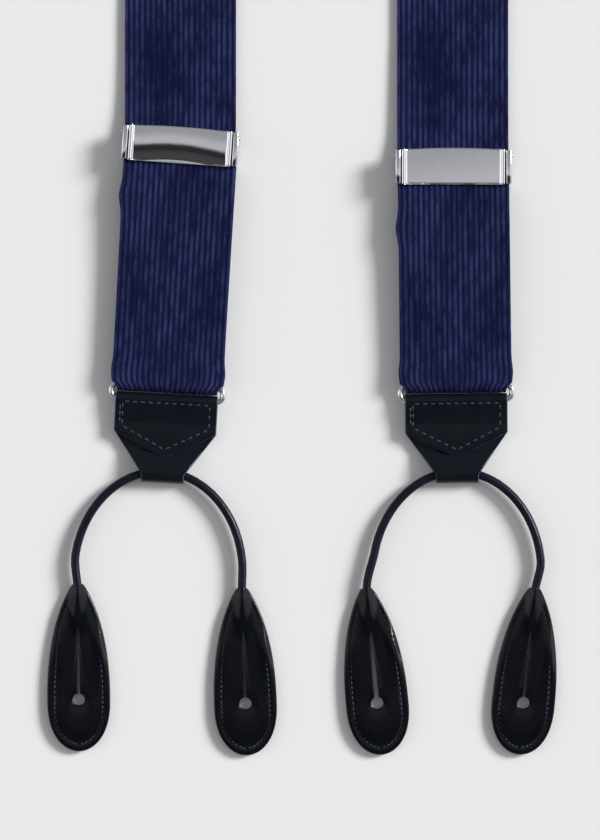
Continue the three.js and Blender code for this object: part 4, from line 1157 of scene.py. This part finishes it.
feed(tree, shader, [("Base Color", tone.outputs["Color"]), ("Normal", bump.outputs["Normal"]),
                    ("Roughness", 0.75), ("Specular IOR Level", 0.2), ("Sheen Weight", 0.1)])

elastic_line = np.concatenate([
    [[run + 19 * mm, folded], [run, folded], [0.7 * run, 0.6 * folded + 0.4 * low_run],
     [0.35 * run, low_run + 0.5 * mm], [18 * mm, low_run + 0.35 * mm], [9 * mm, low_run + 0.15 * mm]],
    bow((0, rear_top - bar_height), ring_wrap, 270, 90, 25),
    turned_end,
])
elastic_line = eased(elastic_line, step=0.6 * mm, reach=2 * mm)


def ribbing(x, *_):
    """Ribs 1.2 mm apart, which follow the root of |cos(pi x / 1.2 mm)|."""
    return 0.09 * mm * np.sqrt(np.abs(np.cos(np.pi * x / (1.2 * mm))))


half = np.interp(elastic_line[:, 0], [-1.4 * mm, 0.6 * mm], [fold_half - 0.3 * mm, elastic_half])
grid, uv = strip(elastic_line, half, elastic_low, elastic_high, face=121, reverse=61, edge=0.4 * mm,
                 relief=ribbing)
elastic = shell("back_elastic_webbing", put(grid, ((rear_spot[0][0], ring_y, 0.0), np.eye(3))), webbing,
                uv=uv / mm)
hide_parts("back_elastic", "back_elastic_end")
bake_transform(elastic)
in_row = 12  # stitches in each of the two rows across the turned end
row_x = np.tile(np.linspace(-15, 15, in_row) * mm, 2)
row_y = np.repeat([11.5 * mm, 9 * mm], in_row)
row_z = np.interp(row_y, *turned_end.T) + 0.72 * mm
sewn = stitches("back_elastic_stitching", np.column_stack([row_x + rear_spot[0][0], row_y + ring_y, row_z]),
                np.tile([1.0, 0, 0], (2 * in_row, 1)), np.tile([0, 0, 1.0], (2 * in_row, 1)),
                length=2.1 * mm, radius=0.2 * mm)
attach(sewn, "rear_elastic_end")


# ---------- Back patch ----------
# A shield of leather with a lining of the same cut, sewn together round the edge over the straps' ends and
# the elastic's. The leather is below, because the back half lies inner side up.
patch_height = patch_high.y - patch_low.y
patch_widths = (45 * mm, 33 * mm, 21.5 * mm)  # half widths: top, where the straps end, bottom
patch_notch = 6 * mm
leather_low, leather_high = 1.8 * mm, 3.0 * mm
lining_thickness = 0.9 * mm
patch_seam = 2.2 * mm  # from the edge


def quadratic(a, b, c, count):
    """A quadratic Bezier curve: three points weighted by the terms of ((1 - t) + t) squared."""
    t = np.linspace(0, 1, count, endpoint=False)[:, None]
    return (1 - t) ** 2 * np.array(a) + 2 * (1 - t) * t * np.array(b) + t ** 2 * np.array(c)


def patch_outline():
    """The patch's edge from the notch at its top round to the left and back. y counts from its top."""
    top, waist, bottom = patch_widths
    left_side = np.concatenate([
        quadratic((0, -patch_notch), (-(top - 4 * mm) / 2, -patch_notch / 2), (-top + 4 * mm, 0), 20),
        quadratic((-top + 4 * mm, 0), (-top - 1 * mm, 0), (-top, -5 * mm), 8),
        quadratic((-top, -5 * mm), (-waist - 3 * mm, -in_patch / 2), (-waist, -in_patch), 20),
        quadratic((-waist, -in_patch), (-bottom - 2 * mm, -patch_height + 10 * mm), (-bottom, -patch_height),
                  12),
        quadratic((-bottom, -patch_height), (-bottom / 2, -patch_height), (0, -patch_height), 12),
    ])
    return np.concatenate([left_side, [[0, -patch_height]], left_side[:0:-1] * [-1, 1]])


def lining_under(x, y):
    """Height of the lining's underside: over what lies between the layers, and down on the leather outside
    it. The straps reach out to 41.6 mm less 0.325 of the way down, and the elastic to its half width."""
    down = -y
    straps = 2 * strap_half / math.cos(shoulder_turn) - math.tan(shoulder_turn) * down
    reach = np.where(down < in_patch, straps, 0) + (down >= in_patch) * (
        elastic_half + (straps - elastic_half) * np.clip((in_patch + 6 * mm - down) / (6 * mm), 0, 1))
    off = np.clip((np.abs(x) - reach + 0.5 * mm) / (3 * mm), 0, 1)
    return folded + 0.75 * mm - (folded + 0.7 * mm - leather_high) * soft_step(off)


outline = patch_outline()
middle = np.array([0, -0.45 * patch_height])
share = np.concatenate([np.linspace(0.06, 0.94, 30), [0.965, 0.985, 1.0]])
level = middle + (outline - middle) * share[:, None, None]
x, y = level[..., 0], level[..., 1]
patch_place = ((patch_x, patch_top, 0.0), np.eye(3))
away = np.linalg.norm(outline - middle, axis=1) * (1 - share[:, None])
worn = rounded_off(away, 0.3 * mm)
seam_dip = 0.16 * mm * bell(away - patch_seam, 0.5 * mm)
under = lining_under(x, y)
top = under + lining_thickness - worn - seam_dip
lining_grid = np.concatenate([np.stack([x, y, top], -1), np.stack([x, y, under], -1)[::-3]])
patch_lining = shell("back_patch_twill", put(lining_grid, patch_place), twill, uv=lining_grid[..., :2] / mm)
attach(patch_lining, "root")
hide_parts("back_patch_lining")
low = np.full_like(x, leather_low) + worn + seam_dip
flesh_side = np.stack([x, y, np.full_like(x, leather_high)], -1)
leather_grid = np.concatenate([np.stack([x, y, low], -1), flesh_side[::-3]])
patch_piece = shell("back_patch_calf", put(leather_grid, patch_place), tab_leather)
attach(patch_piece, "root")
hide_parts("back_patch_leather")
at, way = seam_round(outline, pitch=2.7 * mm, inset=-patch_seam)
for label, height, up in (("lining", lining_under(at[:, 0], at[:, 1]) + lining_thickness - 0.1 * mm, 1.0),
                          ("leather", np.full(len(at), leather_low + 0.1 * mm), -1.0)):
    sewn = stitches(f"back_patch_{label}_stitching", put(np.column_stack([at, height]), patch_place), way,
                    np.tile([0, 0, up], (len(at), 1)), length=1.9 * mm, radius=0.2 * mm)
    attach(sewn, "root")
